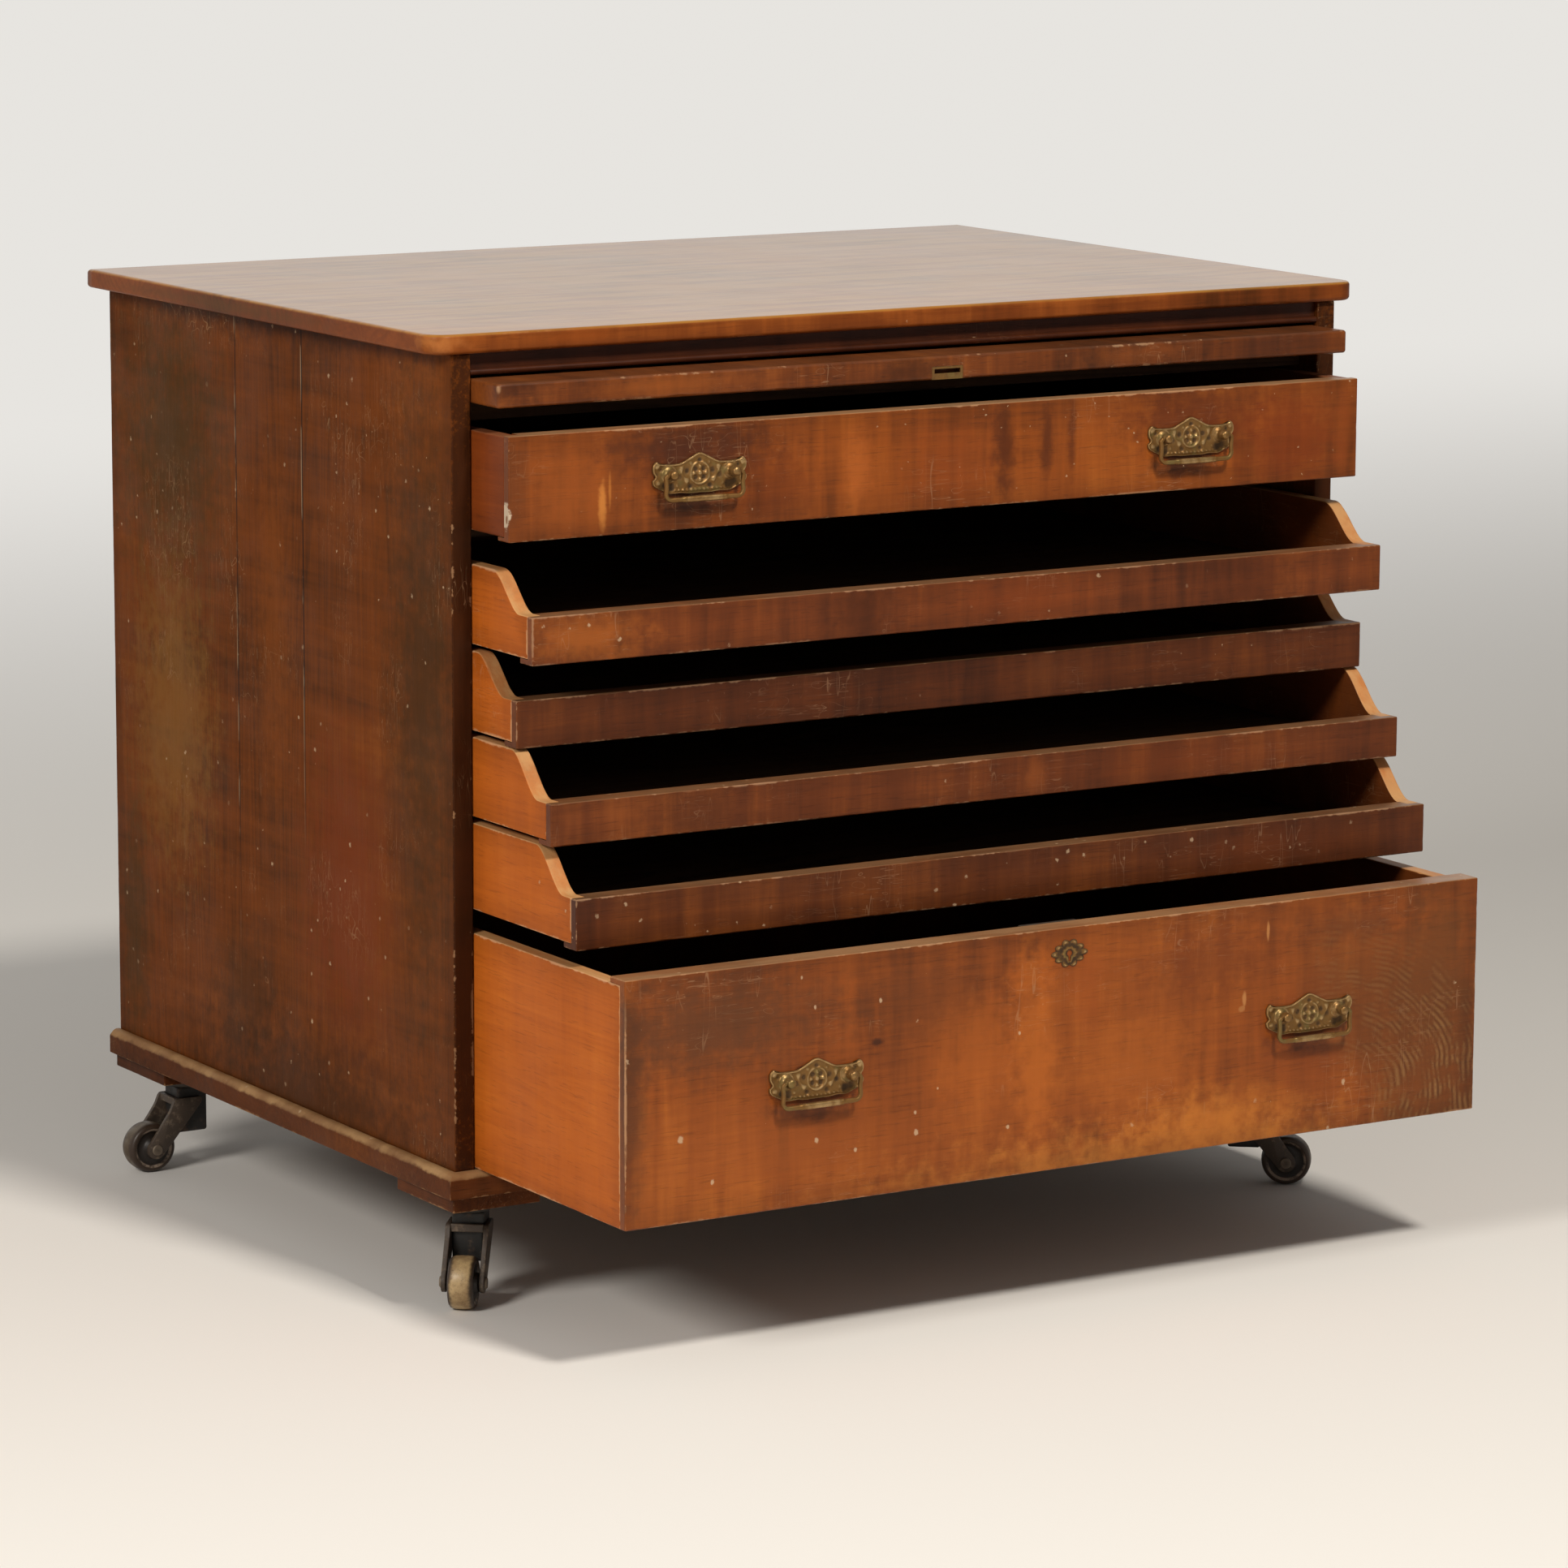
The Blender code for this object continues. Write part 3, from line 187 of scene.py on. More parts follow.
def sums(operation, a, b=0.0, c=0.0, clamp=False):
    """One step of arithmetic on values."""
    return wire("ShaderNodeMath", {0: a, 1: b, 2: c}, operation=operation, use_clamp=clamp).outputs[0]


def times(a, b, clamp=False):
    """One value times another."""
    return sums("MULTIPLY", a, b, clamp=clamp)


def plus(a, b, clamp=False):
    """One value and another."""
    return sums("ADD", a, b, clamp=clamp)


def minus(a, b, clamp=False):
    """One value less another."""
    return sums("SUBTRACT", a, b, clamp=clamp)


def vectors(operation, a, b, c=(0, 0, 0)):
    """One step of arithmetic on places."""
    return wire("ShaderNodeVectorMath", {0: a, 1: b, 2: c}, operation=operation).outputs[0]


def axes(place):
    """The three coordinates of a place."""
    return wire("ShaderNodeSeparateXYZ", {0: place}).outputs


def field(here, name):
    """The value of one of the fields that a piece's points carry."""
    return wire("ShaderNodeAttribute", {}, here.id_data, attribute_name=name).outputs["Fac"]


def bumped(height, strength, distance):
    """The bumps that a height makes in a surface."""
    return wire("ShaderNodeBump", {"Height": height, "Strength": strength, "Distance": distance}).outputs[0]


def between(value, start, end, low=0.0, high=1.0):
    """Turns a value into a soft step from low to high, as it goes from start to end."""
    reach = {"Value": value, "From Min": start, "From Max": end, "To Min": low, "To Max": high}
    return wire("ShaderNodeMapRange", reach, interpolation_type="SMOOTHSTEP").outputs["Result"]


def blend(share, a, b, way="MIX"):
    """Mixes two colours by a share."""
    return wire("ShaderNodeMix", {0: share, 6: a, 7: b}, data_type="RGBA", blend_type=way).outputs[2]


def stretched(place, scale, shift=(0, 0, 0)):
    """A place scaled by its own amount along each axis, and shifted."""
    return wire("ShaderNodeMapping", {0: place, 1: shift, 3: scale}).outputs[0]


def clouds(place, scale, detail=3.0, rough=0.5, distortion=0.0):
    """Soft noise at a place."""
    look = {"Vector": place, "Scale": scale, "Detail": detail, "Roughness": rough, "Distortion": distortion}
    return wire("ShaderNodeTexNoise", look).outputs["Fac"]


def new_effect(name, takes, gives):
    """Starts a shader node group from the names and kinds of what it takes and gives; returns the group, the
    outputs of its input node, and its output node."""
    tree = bpy.data.node_groups.new(name, "ShaderNodeTree")
    for way, sockets in (("INPUT", takes), ("OUTPUT", gives)):
        for label, kind in sockets.items():
            tree.interface.new_socket(label, in_out=way, socket_type="NodeSocket" + kind)
    return tree, tree.nodes.new("NodeGroupInput").outputs, tree.nodes.new("NodeGroupOutput")


def new_finish(name):
    """Starts a material; returns it, its shader, and the place on the piece."""
    material = bpy.data.materials.new(name)
    material.use_nodes = True
    tree = material.node_tree
    return material, tree.nodes["Principled BSDF"], wire("ShaderNodeTexCoord", {}, tree).outputs["Object"]


def painted(node, material):
    """Gives a material to a solid that keeps the frame's own shape."""
    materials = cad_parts[node].data.materials
    materials.clear()
    materials.append(material)


def timber_effect():
    """Sawn mahogany, cedar or pine with its grain along X of the place. Growth rings are the level lines of a
    long drawn-out cloud, repeated and sharpened on one side; fibres and pores are much thinner clouds; the
    figure is a broad cloud that is short along the grain, so that it crosses the board as bands do."""
    kinds = {"Place": "Vector", "Pale": "Color", "Middle": "Color", "Dark": "Color"}
    kinds |= {"Rings": "Float", "Figure": "Float", "Fibres": "Float", "Pores": "Float"}
    tree, takes, gives = new_effect("timber", kinds, {"Color": "Color", "Height": "Float"})
    place = takes["Place"]
    drawn = stretched(place, (0.45, 8.0, 8.0))
    hills = clouds(drawn, 1.0, 2.0, 0.4, 0.25)
    ring = sums("FRACT", times(hills, 34.0))
    late = times(between(ring, 0.2, 0.9), between(ring, 1.0, 0.92))
    fibre = clouds(stretched(place, (7, 230, 230)), 1.0, 4.0, 0.62)
    streak = clouds(stretched(place, (1.6, 48, 48)), 1.0, 3.0, 0.55)
    pore = between(clouds(stretched(place, (42, 760, 760)), 1.0, 2.0, 0.5), 0.60, 0.68)
    band = clouds(stretched(place, (11, 2.4, 2.4)), 1.0, 3.0, 0.55, 0.4)
    broad = clouds(stretched(place, (2.4, 3.4, 3.4), (3, 1, 2)), 1.0, 2.0, 0.5)
    ripple = clouds(stretched(place, (58, 5, 5)), 1.0, 3.0, 0.6, 0.3)
    hair = clouds(stretched(place, (420, 40, 40)), 1.0, 3.0, 0.6)
    mottle = plus(times(band, 0.5), times(broad, 0.5))
    mottle = plus(mottle, times(minus(ripple, 0.5), 0.40))
    tone = sums("MULTIPLY_ADD", minus(mottle, 0.5), times(takes["Figure"], 3.4), 0.5)
    tone = minus(tone, times(late, takes["Rings"]))
    fine = plus(minus(fibre, 0.5), times(minus(streak, 0.5), 0.6))
    fine = plus(fine, times(minus(hair, 0.5), 0.20))
    tone = plus(tone, times(fine, takes["Fibres"]), clamp=True)
    colour = blend(between(tone, 0.0, 0.55), takes["Dark"], takes["Middle"])
    colour = blend(between(tone, 0.45, 1.0), colour, takes["Pale"])
    dark_pore = times(pore, takes["Pores"])
    colour = blend(dark_pore, colour, blend(0.75, colour, (0.012, 0.005, 0.003)))
    height = minus(times(fibre, 0.35), times(pore, 0.6))
    height = minus(height, times(late, 0.12))
    feed(gives, {"Color": colour, "Height": height})
    return tree


def arris_effect():
    """Wear along a board's edges. The distance from a point of the board's surface to its nearest edge is the
    second smallest of its distances to the three pairs of faces. A cloud makes the worn band wide or
    narrow."""
    kinds = {"Place": "Vector", "Low": "Vector", "High": "Vector", "Reach": "Float", "Patches": "Float"}
    tree, takes, gives = new_effect("worn_arris", kinds, {"Wear": "Float", "Shelter": "Float"})
    under = vectors("SUBTRACT", takes["Place"], takes["Low"])
    over = vectors("SUBTRACT", takes["High"], takes["Place"])
    near = vectors("MINIMUM", under, over)
    parts = axes(near)
    least = sums("MINIMUM", parts[0], parts[1])
    most = sums("MAXIMUM", parts[0], parts[1])
    edge = sums("MAXIMUM", least, sums("MINIMUM", most, parts[2]))
    slow = clouds(takes["Place"], 9.0, 3.0, 0.6)
    quick = clouds(takes["Place"], 120.0, 3.0, 0.6)
    ragged = plus(times(slow, 0.6), times(quick, 0.4))
    patches = between(ragged, sums("MULTIPLY_ADD", takes["Patches"], 0.20, 0.36), 0.64)
    reach = times(takes["Reach"], patches)
    wear = between(edge, times(reach, 1.1), times(reach, 0.25))
    feed(gives, {"Wear": wear, "Shelter": between(edge, 0.030, 0.0)})
    return tree


def knocks_effect():
    """Old damage on varnish: pale flecks where paint or plaster dropped, gathered by clouds, from the cells
    of a scattered pattern whose random colour is high enough, and thin scratches, the level lines of
    drawn-out clouds."""
    kinds = {"Place": "Vector", "Flecks": "Float", "Scratches": "Float"}
    tree, takes, gives = new_effect("knocks", kinds, {"Fleck": "Float", "Scratch": "Float"})
    wobble = wire("ShaderNodeTexNoise", {"Vector": takes["Place"], "Scale": 420.0, "Detail": 2.0})
    shifted = vectors("MULTIPLY_ADD", wobble.outputs["Color"], (0.0046, 0.0036, 0.0036), takes["Place"])
    found = []
    for scale, size in ((31.0, 0.066), (83.0, 0.155)):
        cells = wire("ShaderNodeTexVoronoi", {"Vector": shifted, "Scale": scale}).outputs
        luck = wire("ShaderNodeSeparateColor", {0: cells["Color"]}).outputs
        chosen = sums("GREATER_THAN", takes["Flecks"], luck[0])
        reach = times(sums("POWER", luck[1], 1.8), size * 1.5)
        found.append(times(chosen, between(cells["Distance"], reach, times(reach, 0.55))))
    gathered = between(clouds(takes["Place"], 4.6, 4.0, 0.7), 0.43, 0.58)
    fleck = times(sums("MAXIMUM", found[0], found[1]), gathered)
    lines = []
    for scale, width in (((26, 330, 330), 0.016), ((90, 140, 9), 0.008), ((30, 30, 60), 0.004)):
        cloud = clouds(stretched(takes["Place"], scale), 1.0, 1.0, 0.4)
        level = sums("ABSOLUTE", minus(cloud, 0.62))
        lines.append(between(level, width, width * 0.3))
    scratch = sums("MAXIMUM", lines[0], sums("MAXIMUM", lines[1], lines[2]))
    patchy = between(clouds(takes["Place"], 7.0, 3.0, 0.7), 0.5, 0.7)
    scratch = times(times(scratch, patchy), takes["Scratches"])
    feed(gives, {"Fleck": fleck, "Scratch": scratch})
    return tree


timber = timber_effect()
worn_arris = arris_effect()
knocks = knocks_effect()

# How each kind of board was finished: its three wood colours, the colour of its bare worn edges, how strong
# each effect is, and the colour and strength of the rubbing on faces that look up, which on the top is partly a
# painted reflection. Colours are linear.
finishes = {
    "side": dict(
        pale=(0.218, 0.060, 0.010), middle=(0.148, 0.038, 0.006), dark=(0.058, 0.018, 0.004),
        bare=(0.36, 0.21, 0.11), rings=0.10, figure=0.46, fibres=0.42, pores=0.35, reach=0.0038,
        patches=0.9, flecks=0.52, scratches=1.0, rough=0.50, shine=0.05, coat=0.0, grime=0.60,
    ),
    "front": dict(
        pale=(0.430, 0.120, 0.015), middle=(0.255, 0.061, 0.008), dark=(0.090, 0.023, 0.005),
        bare=(0.50, 0.30, 0.16), rings=0.05, figure=0.52, fibres=0.28, pores=0.30, reach=0.0026,
        patches=0.50, flecks=0.85, scratches=0.45, rough=0.38, shine=0.17, coat=0.07, grime=0.55,
        rubbed=((0.35, 0.215, 0.110), 0.92),
    ),
    "tray_front": dict(
        pale=(0.290, 0.076, 0.013), middle=(0.150, 0.036, 0.008), dark=(0.052, 0.014, 0.005),
        bare=(0.42, 0.25, 0.14), rings=0.04, figure=0.60, fibres=0.28, pores=0.30, reach=0.0026,
        patches=0.50, flecks=0.75, scratches=0.5, rough=0.40, shine=0.17, coat=0.05, grime=0.50,
        rubbed=((0.21, 0.118, 0.058), 0.85),
    ),
    "cedar": dict(
        pale=(0.600, 0.162, 0.017), middle=(0.465, 0.108, 0.010), dark=(0.270, 0.055, 0.006),
        bare=(0.66, 0.43, 0.24), rings=0.09, figure=0.24, fibres=0.42, pores=0.25, reach=0.0034,
        patches=0.20, flecks=0.08, scratches=0.3, rough=0.50, shine=0.14, coat=0.0, grime=0.45,
        rubbed=((0.60, 0.39, 0.175), 0.88),
    ),
    "red_side": dict(
        pale=(0.300, 0.070, 0.010), middle=(0.200, 0.040, 0.006), dark=(0.105, 0.021, 0.005),
        bare=(0.50, 0.27, 0.12), rings=0.08, figure=0.25, fibres=0.42, pores=0.30, reach=0.0024,
        patches=0.5, flecks=0.05, scratches=0.25, rough=0.46, shine=0.16, coat=0.02, grime=0.40,
        rubbed=((0.26, 0.13, 0.07), 0.6),
    ),
    # The pine is darker than old pine alone: partly age, partly painted shade of the dark insides of the cabinet
    # and its drawers.
    "pine": dict(
        pale=(0.200, 0.105, 0.045), middle=(0.130, 0.062, 0.025), dark=(0.060, 0.026, 0.011),
        bare=(0.24, 0.14, 0.07), rings=0.25, figure=0.20, fibres=0.4, pores=0.15, reach=0.0015,
        patches=0.9, flecks=0.04, scratches=0.3, rough=0.62, shine=0.2, coat=0.0, grime=0.6,
    ),
    # On the top, the golden colour of the faces that look up is partly faded wood and partly a painted
    # reflection of a warm wall.
    "top": dict(
        pale=(0.280, 0.074, 0.013), middle=(0.165, 0.040, 0.008), dark=(0.065, 0.019, 0.005),
        bare=(0.46, 0.20, 0.07), rings=0.10, figure=0.55, fibres=0.40, pores=0.25, reach=0.0026,
        patches=0.6, flecks=0.02, scratches=0.10, rough=0.34, shine=0.08, coat=0.62, grime=0.0,
        rubbed=((0.470, 0.225, 0.040), 0.90),
    ),
    "rail": dict(
        pale=(0.120, 0.030, 0.008), middle=(0.066, 0.016, 0.005), dark=(0.032, 0.009, 0.004),
        bare=(0.30, 0.15, 0.07), rings=0.08, figure=0.45, fibres=0.40, pores=0.5, reach=0.0022,
        patches=0.8, flecks=0.10, scratches=0.4, rough=0.40, shine=0.18, coat=0.05, grime=0.5,
    ),
    "flap": dict(
        pale=(0.290, 0.078, 0.013), middle=(0.150, 0.037, 0.007), dark=(0.052, 0.015, 0.005),
        bare=(0.46, 0.27, 0.14), rings=0.05, figure=0.75, fibres=0.40, pores=0.5, reach=0.0034,
        patches=0.75, flecks=0.20, scratches=0.5, rough=0.38, shine=0.2, coat=0.08, grime=0.3,
        rubbed=((0.110, 0.045, 0.020), 0.6),
    ),
    "foot": dict(
        pale=(0.200, 0.060, 0.013), middle=(0.110, 0.030, 0.007), dark=(0.040, 0.012, 0.004),
        bare=(0.42, 0.24, 0.11), rings=0.08, figure=0.50, fibres=0.40, pores=0.5, reach=0.0030,
        patches=0.50, flecks=0.55, scratches=0.6, rough=0.48, shine=0.07, coat=0.0, grime=0.3,
        rubbed=((0.38, 0.21, 0.095), 0.6),
    ),
}
wood_parts = ("pale", "middle", "dark", "rings", "figure", "fibres", "pores")
grain_turns = {"x": (0, 0, 0), "y": (0, 0, -math.pi / 2), "z": (0, math.pi / 2, 0)}


def board_finish(name, kind, low, high, grain, seed, patches=(), shade=1.0, marks=None):
    """The material of one board, which runs its grain along an axis. Each patch is a place, a size along each
    axis, a colour, a strength and a softness, for a stain, a bruise, a chip or a painted shadow that this board
    alone has.
    Marks is a function that adds this board's own marks to its colour, painted shade among some of them."""
    look = dict(finishes[kind])
    for part in ("pale", "middle", "dark"):
        look[part] = tuple(c * shade for c in look[part])
    material, shader, here = new_finish(name)
    tree = here.id_data
    dice = np.random.default_rng(seed)
    turn = {0: here, 1: tuple(dice.uniform(-5, 5, 3)), 2: grain_turns[grain]}
    aligned = wire("ShaderNodeMapping", turn).outputs[0]
    wood = {"Place": aligned} | {part.capitalize(): look[part] for part in wood_parts}
    wood = wire("ShaderNodeGroup", wood, tree, node_tree=timber).outputs
    edge = {"Place": here, "Low": tuple(low), "High": tuple(high)}
    edge |= {"Reach": look["reach"], "Patches": look["patches"]}
    edge = wire("ShaderNodeGroup", edge, tree, node_tree=worn_arris).outputs
    damage = {"Place": aligned, "Flecks": look["flecks"], "Scratches": look["scratches"]}
    damage = wire("ShaderNodeGroup", damage, tree, node_tree=knocks).outputs
    colour = wood["Color"]
    for place, size, tint, strength, softness in patches:
        scaled = vectors("DIVIDE", vectors("SUBTRACT", here, place), size)
        reach = wire("ShaderNodeVectorMath", {0: scaled}, operation="LENGTH").outputs["Value"]
        soft = softness > 0.5
        grit = clouds(here, 70.0, 4.0, 0.6) if soft else clouds(here, 230.0, 3.0, 0.6)
        ragged = sums("MULTIPLY_ADD", minus(grit, 0.5), 1.3, reach)
        share = between(ragged, 1.0, 1.0 - softness, 0.0, strength)
        if soft:
            tint = blend(0.75, blend(0.75, wood["Color"], tint, "OVERLAY"), tint)
        colour = blend(share, colour, tint)
    if marks:
        colour = marks(here, colour)
    grime = times(edge["Shelter"], clouds(here, 16.0, 4.0, 0.6))
    colour = blend(times(grime, look["grime"]), colour, tuple(c * 0.35 for c in look["dark"]))
    colour = blend(times(damage["Scratch"], 0.55), colour, look["bare"])
    facing = axes(wire("ShaderNodeNewGeometry", {}, tree).outputs["Normal"])[2]
    # Faces that look up take the rubbed colour: rubbing and dust on most boards, on the top partly a painted
    # reflection.
    if "rubbed" in look:
        tint, strength = look["rubbed"]
        streaks = clouds(stretched(aligned, (7, 44, 44)), 1.0, 4.0, 0.65)
        cover = between(streaks, 0.36, 0.60, strength * 0.55, strength)
        rubbed = times(between(facing, 0.25, 0.85), cover)
        colour = blend(rubbed, colour, blend(0.25, tint, wood["Color"]))
    colour = blend(times(edge["Wear"], 0.8), colour, blend(0.35, look["bare"], wood["Color"]))
    colour = blend(times(damage["Fleck"], 0.70), colour, (0.52, 0.36, 0.22))
    polished = kind == "top"
    swing = 0.02 if polished else 0.08
    rough = between(clouds(here, 11.0, 4.0, 0.6), 0.3, 0.7, look["rough"] - swing, look["rough"] + swing)
    rough = plus(rough, times(edge["Wear"], 0.22))
    rough = plus(rough, times(damage["Scratch"], 0.15), clamp=True)
    height = minus(wood["Height"], times(damage["Scratch"], 0.6))
    height = minus(height, times(edge["Wear"], 0.8))
    feed(
        shader,
        {
            "Base Color": colour, "Roughness": rough, "Specular IOR Level": look["shine"],
            "Coat Weight": between(facing, 0.55, 0.98, 0.0 if polished else look["coat"], look["coat"]),
            "Coat Roughness": 0.07 if polished else 0.28,
            "Normal": bumped(height, 0.05 if polished else 0.25, 0.0006),
        },
    )
    return material


def make_board(
    name, kind, low, high, body, grain, seed, replaced=(), slot=None, arris=0.0012, step=0.008,
    extra=((), (), ()), shape=None, sharp=None, **finish,
):
    """Makes one board: its surface, its dents, any further change of shape, and its own material."""
    low, high = np.array(low, float), np.array(high, float)
    points, faces = board_surface(low, high, arris, step, extra)
    points = knocked(points, low, high, seed, arris=arris)
    if shape:
        points = shape(points)
    material = board_finish(name + "_wood", kind, low, high, grain, seed, **finish)
    return make_piece(name, points, faces, body, material, replaced, sharp)


def grooved(points, wall, outward, front, back, foot, top, depth):
    """Sinks a groove into a wall: points on the wall, between the groove's front and back and its foot and
    top, move outward by the depth."""
    inside = (np.abs(points[:, 0] - wall) < 1e-6) & (points[:, 1] > front) & (points[:, 1] < back)
    inside &= (points[:, 2] > foot) & (points[:, 2] < top)
    points[inside, 0] += outward * depth
    return points


front_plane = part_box("left_side_panel")[0].y
rod_low, rod_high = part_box("flap_pivot_rod")
groove_foot, groove_top = (rod_low.z + rod_high.z) / 2 - 0.0045, (rod_low.z + rod_high.z) / 2 + 0.0045
groove_front, groove_back = front_plane + 0.020, front_plane + 0.530
groove_lines = (
    (),
    (groove_front, groove_front + 0.0004, groove_back - 0.0004, groove_back),
    (groove_foot, groove_foot + 0.0004, groove_top - 0.0004, groove_top),
)


def board_joints(here, colour):
    """The two joints between the boards of a carcase side: dark lines that waver and fade towards the foot,
    each with a broken pale line beside it where the varnish has lifted."""
    parts = axes(here)
    waver = times(minus(clouds(here, 4.0, 2.0), 0.5), 0.004)
    fade = between(plus(parts[2], clouds(here, 3.0, 3.0)), 0.75, 1.15)
    broken = between(clouds(stretched(here, (60, 60, 22)), 1.0, 3.0), 0.46, 0.60)
    for depth, weight in ((0.306, 0.95), (0.451, 0.85)):
        across = plus(minus(parts[1], front_plane + depth), waver)
        dark = times(between(sums("ABSOLUTE", across), 0.0016, 0.0005, 0.0, weight), fade)
        colour = blend(dark, colour, (0.016, 0.007, 0.004))
        beside = sums("ABSOLUTE", minus(across, 0.0016))
        pale = times(between(beside, 0.0014, 0.0004), broken)
        colour = blend(times(times(pale, fade), 0.8), colour, (0.30, 0.20, 0.12))
    return colour


# Stains and darker bands on the outside, one of them a painted shadow under the top: how far behind the front
# and how high up each lies, its size each way, its colour, strength and softness.
side_patches = (
    ((0.60, 0.78), (0.20, 0.22), (0.062, 0.036, 0.009), 0.80, 0.98),
    ((0.06, 0.60), (0.11, 0.46), (0.056, 0.027, 0.008), 0.80, 0.98),
    ((0.60, 0.50), (0.13, 0.22), (0.250, 0.112, 0.024), 0.75, 0.9),
    ((0.37, 0.62), (0.06, 0.24), (0.240, 0.066, 0.010), 0.65, 0.9),
    ((0.22, 0.38), (0.14, 0.22), (0.190, 0.038, 0.008), 0.75, 0.9),
    ((0.70, 0.26), (0.05, 0.20), (0.062, 0.034, 0.010), 0.70, 0.9),
    ((0.44, 0.24), (0.10, 0.10), (0.060, 0.026, 0.008), 0.60, 0.9),
    # A darker band along the foot.
    ((0.30, 0.15), (0.42, 0.12), (0.048, 0.019, 0.006), 0.80, 0.98),
    # A dark band just under the top: a painted shadow of the top's overhang.
    ((0.37, 0.93), (0.40, 0.040), (0.040, 0.015, 0.006), 0.80, 0.9),
)
groove_depth = 0.007
groove_sides = (groove_front + 0.0002, groove_back - 0.0002, groove_foot + 0.0002, groove_top - 0.0002)
for side, outward, seed in (("left", -1, 11), ("right", 1, 12)):
    low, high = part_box(side + "_side_panel")
    wall, outer = (high.x, low.x) if outward < 0 else (low.x, high.x)
    outer_patches = [
        ((outer, front_plane + behind, up), (0.05, wide, tall), *rest)
        for (behind, up), (wide, tall), *rest in side_patches
    ]
    front_edge = ((low.x + high.x) / 2, front_plane, 0.53)
    outer_patches.append((front_edge, (0.020, 0.002, 0.60), (0.034, 0.011, 0.005), 0.8, 0.4))
    make_board(
        side + "_carcase_side", "side", low, high, "carcase", "z", seed, [side + "_side_panel"],
        "dark_mahogany", arris=0.0014, step=0.010, extra=groove_lines, sharp=40, patches=outer_patches,
        marks=board_joints,
        shape=lambda p: grooved(p, wall, outward, *groove_sides, groove_depth),
    )

# The carcase's inner boards.
# The back, the bottom, the two dust boards, the flap's shelf and the runner frames are plain pine, darkened
# partly by age and partly as painted shade of the cabinet's inside, housed between the sides. They keep the
# shape that the frame gives them.
inner_boards = {
    "back_panel": "z", "bottom_board": "x", "lower_dust_board": "x", "upper_dust_board": "x",
    "flap_shelf": "x", "tray_1_runner_frame": "y", "tray_2_runner_frame": "y",
    "tray_3_runner_frame": "y",
}
for seed, (node, grain) in enumerate(inner_boards.items(), start=20):
    painted(node, board_finish(node + "_wood", "pine", *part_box(node), grain, seed))

# The top.
# One wide board of polished mahogany, French polished until it mirrors the room, with its front corners
# rounded in plan and its edges eased over. It overhangs the sides and lies flush at the back.


def top_surface(low, high, corner, ease, count=14):
    """The top board: its outline is a rectangle with its two front corners turned by quarter circles. The
    outline is carried up round the edge, drawn in by a quarter ellipse below and above, then in towards the
    middle in steps, and the two flat middles are closed with one face each."""
    turn = np.linspace(0, math.pi / 2, count)
    quarter = np.linspace(0, math.pi / 2, 7)
    inward, upward = ease * (1 - np.sin(quarter)), ease * (1 - np.cos(quarter))
    drawn = np.concatenate([inward, inward[::-1]])
    levels = np.concatenate([low.z + upward, high.z - upward[::-1]])
    drawn = np.concatenate([[0.030, ease + 0.001], drawn, [ease + 0.001, 0.030]])
    levels = np.concatenate([[low.z, low.z], levels, [high.z, high.z]])
    rings = []
    for inset, level in zip(drawn, levels):
        left, right, front, back = low.x + inset, high.x - inset, low.y + inset, high.y - inset
        radius = max(corner - inset, 0.002)
        row = np.linspace(left + radius, right - radius, 120)
        side = np.linspace(front + radius, back, 70)
        loop = [
            np.stack([row, np.full_like(row, front)], -1)[1:-1],
            np.stack([right - radius + radius * np.sin(turn), front + radius - radius * np.cos(turn)], -1),
            np.stack([np.full_like(side, right), side], -1)[1:],
            np.stack([row[::-1], np.full_like(row, back)], -1),
            np.stack([np.full_like(side, left), side[::-1]], -1)[:-1],
            np.stack([left + radius - radius * np.cos(turn), front + radius - radius * np.sin(turn)], -1),
        ]
        loop = np.concatenate(loop)
        rings.append(np.column_stack([loop, np.full(len(loop), level)]))
    return tube_faces(np.array(rings))


def flipped(surface):
    """The same surface with its faces turned the other way."""
    points, faces = surface
    return points, [part[:, ::-1] for part in faces]


def tube_faces(rings):
    """Skins a row of closed rings, each with the same number of points, and closes both ends with one
    face."""
    stations, count = rings.shape[:2]
    s, k = np.meshgrid(np.arange(stations - 1), np.arange(count), indexing="ij")
    following = (k + 1) % count
    near, far = s * count, (s + 1) * count
    quads = np.stack([near + k, near + following, far + following, far + k], -1)
    ends = np.stack([np.arange(count)[::-1], (stations - 1) * count + np.arange(count)])
    return rings.reshape(-1, 3), [quads.reshape(-1, 4), ends]


low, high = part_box("top_board")
points, faces = top_surface(low, high, 0.022, 0.004)
middle = (low + high) / 2
dents = np.clip(unevenness(points, 31, 0.06) - 0.35, 0, 1) * 0.0006
rim = (points[:, 2] > low.z + 0.0001) & (points[:, 2] < high.z - 0.0001)
points[rim] -= (dents[rim] / np.linalg.norm(points[rim] - middle, axis=1))[:, None] * (points[rim] - middle)
rim_level = high.z - 0.008
make_piece(
    "polished_top", points, faces, "carcase",
    board_finish(
        "polished_top_wood", "top", low, high, "x", 31,
        patches=[
            ((low.x + 0.012, low.y + 0.012, rim_level), (0.040, 0.030, 0.012), (0.50, 0.19, 0.05), 0.75, 0.9),
            ((low.x + 0.160, low.y, rim_level), (0.070, 0.010, 0.014), (0.30, 0.075, 0.012), 0.60, 0.9),
            ((low.x, low.y + 0.45, high.z - 0.010), (0.010, 0.350, 0.010), (0.120, 0.052, 0.012), 0.65, 0.9),
        ],
    ),
    ["top_board"],
)

# The rail over the flap.
# A narrow dark rail between the sides, set back a little, with a small round bead worked along its lower
# edge.


def run_profile(profile, start, end, steps):
    """Carries a closed profile of (y, z) straight along X: each ring is the profile at one place."""
    places = np.linspace(start, end, steps)
    return np.array([np.column_stack([np.full(len(profile), place), profile]) for place in places])


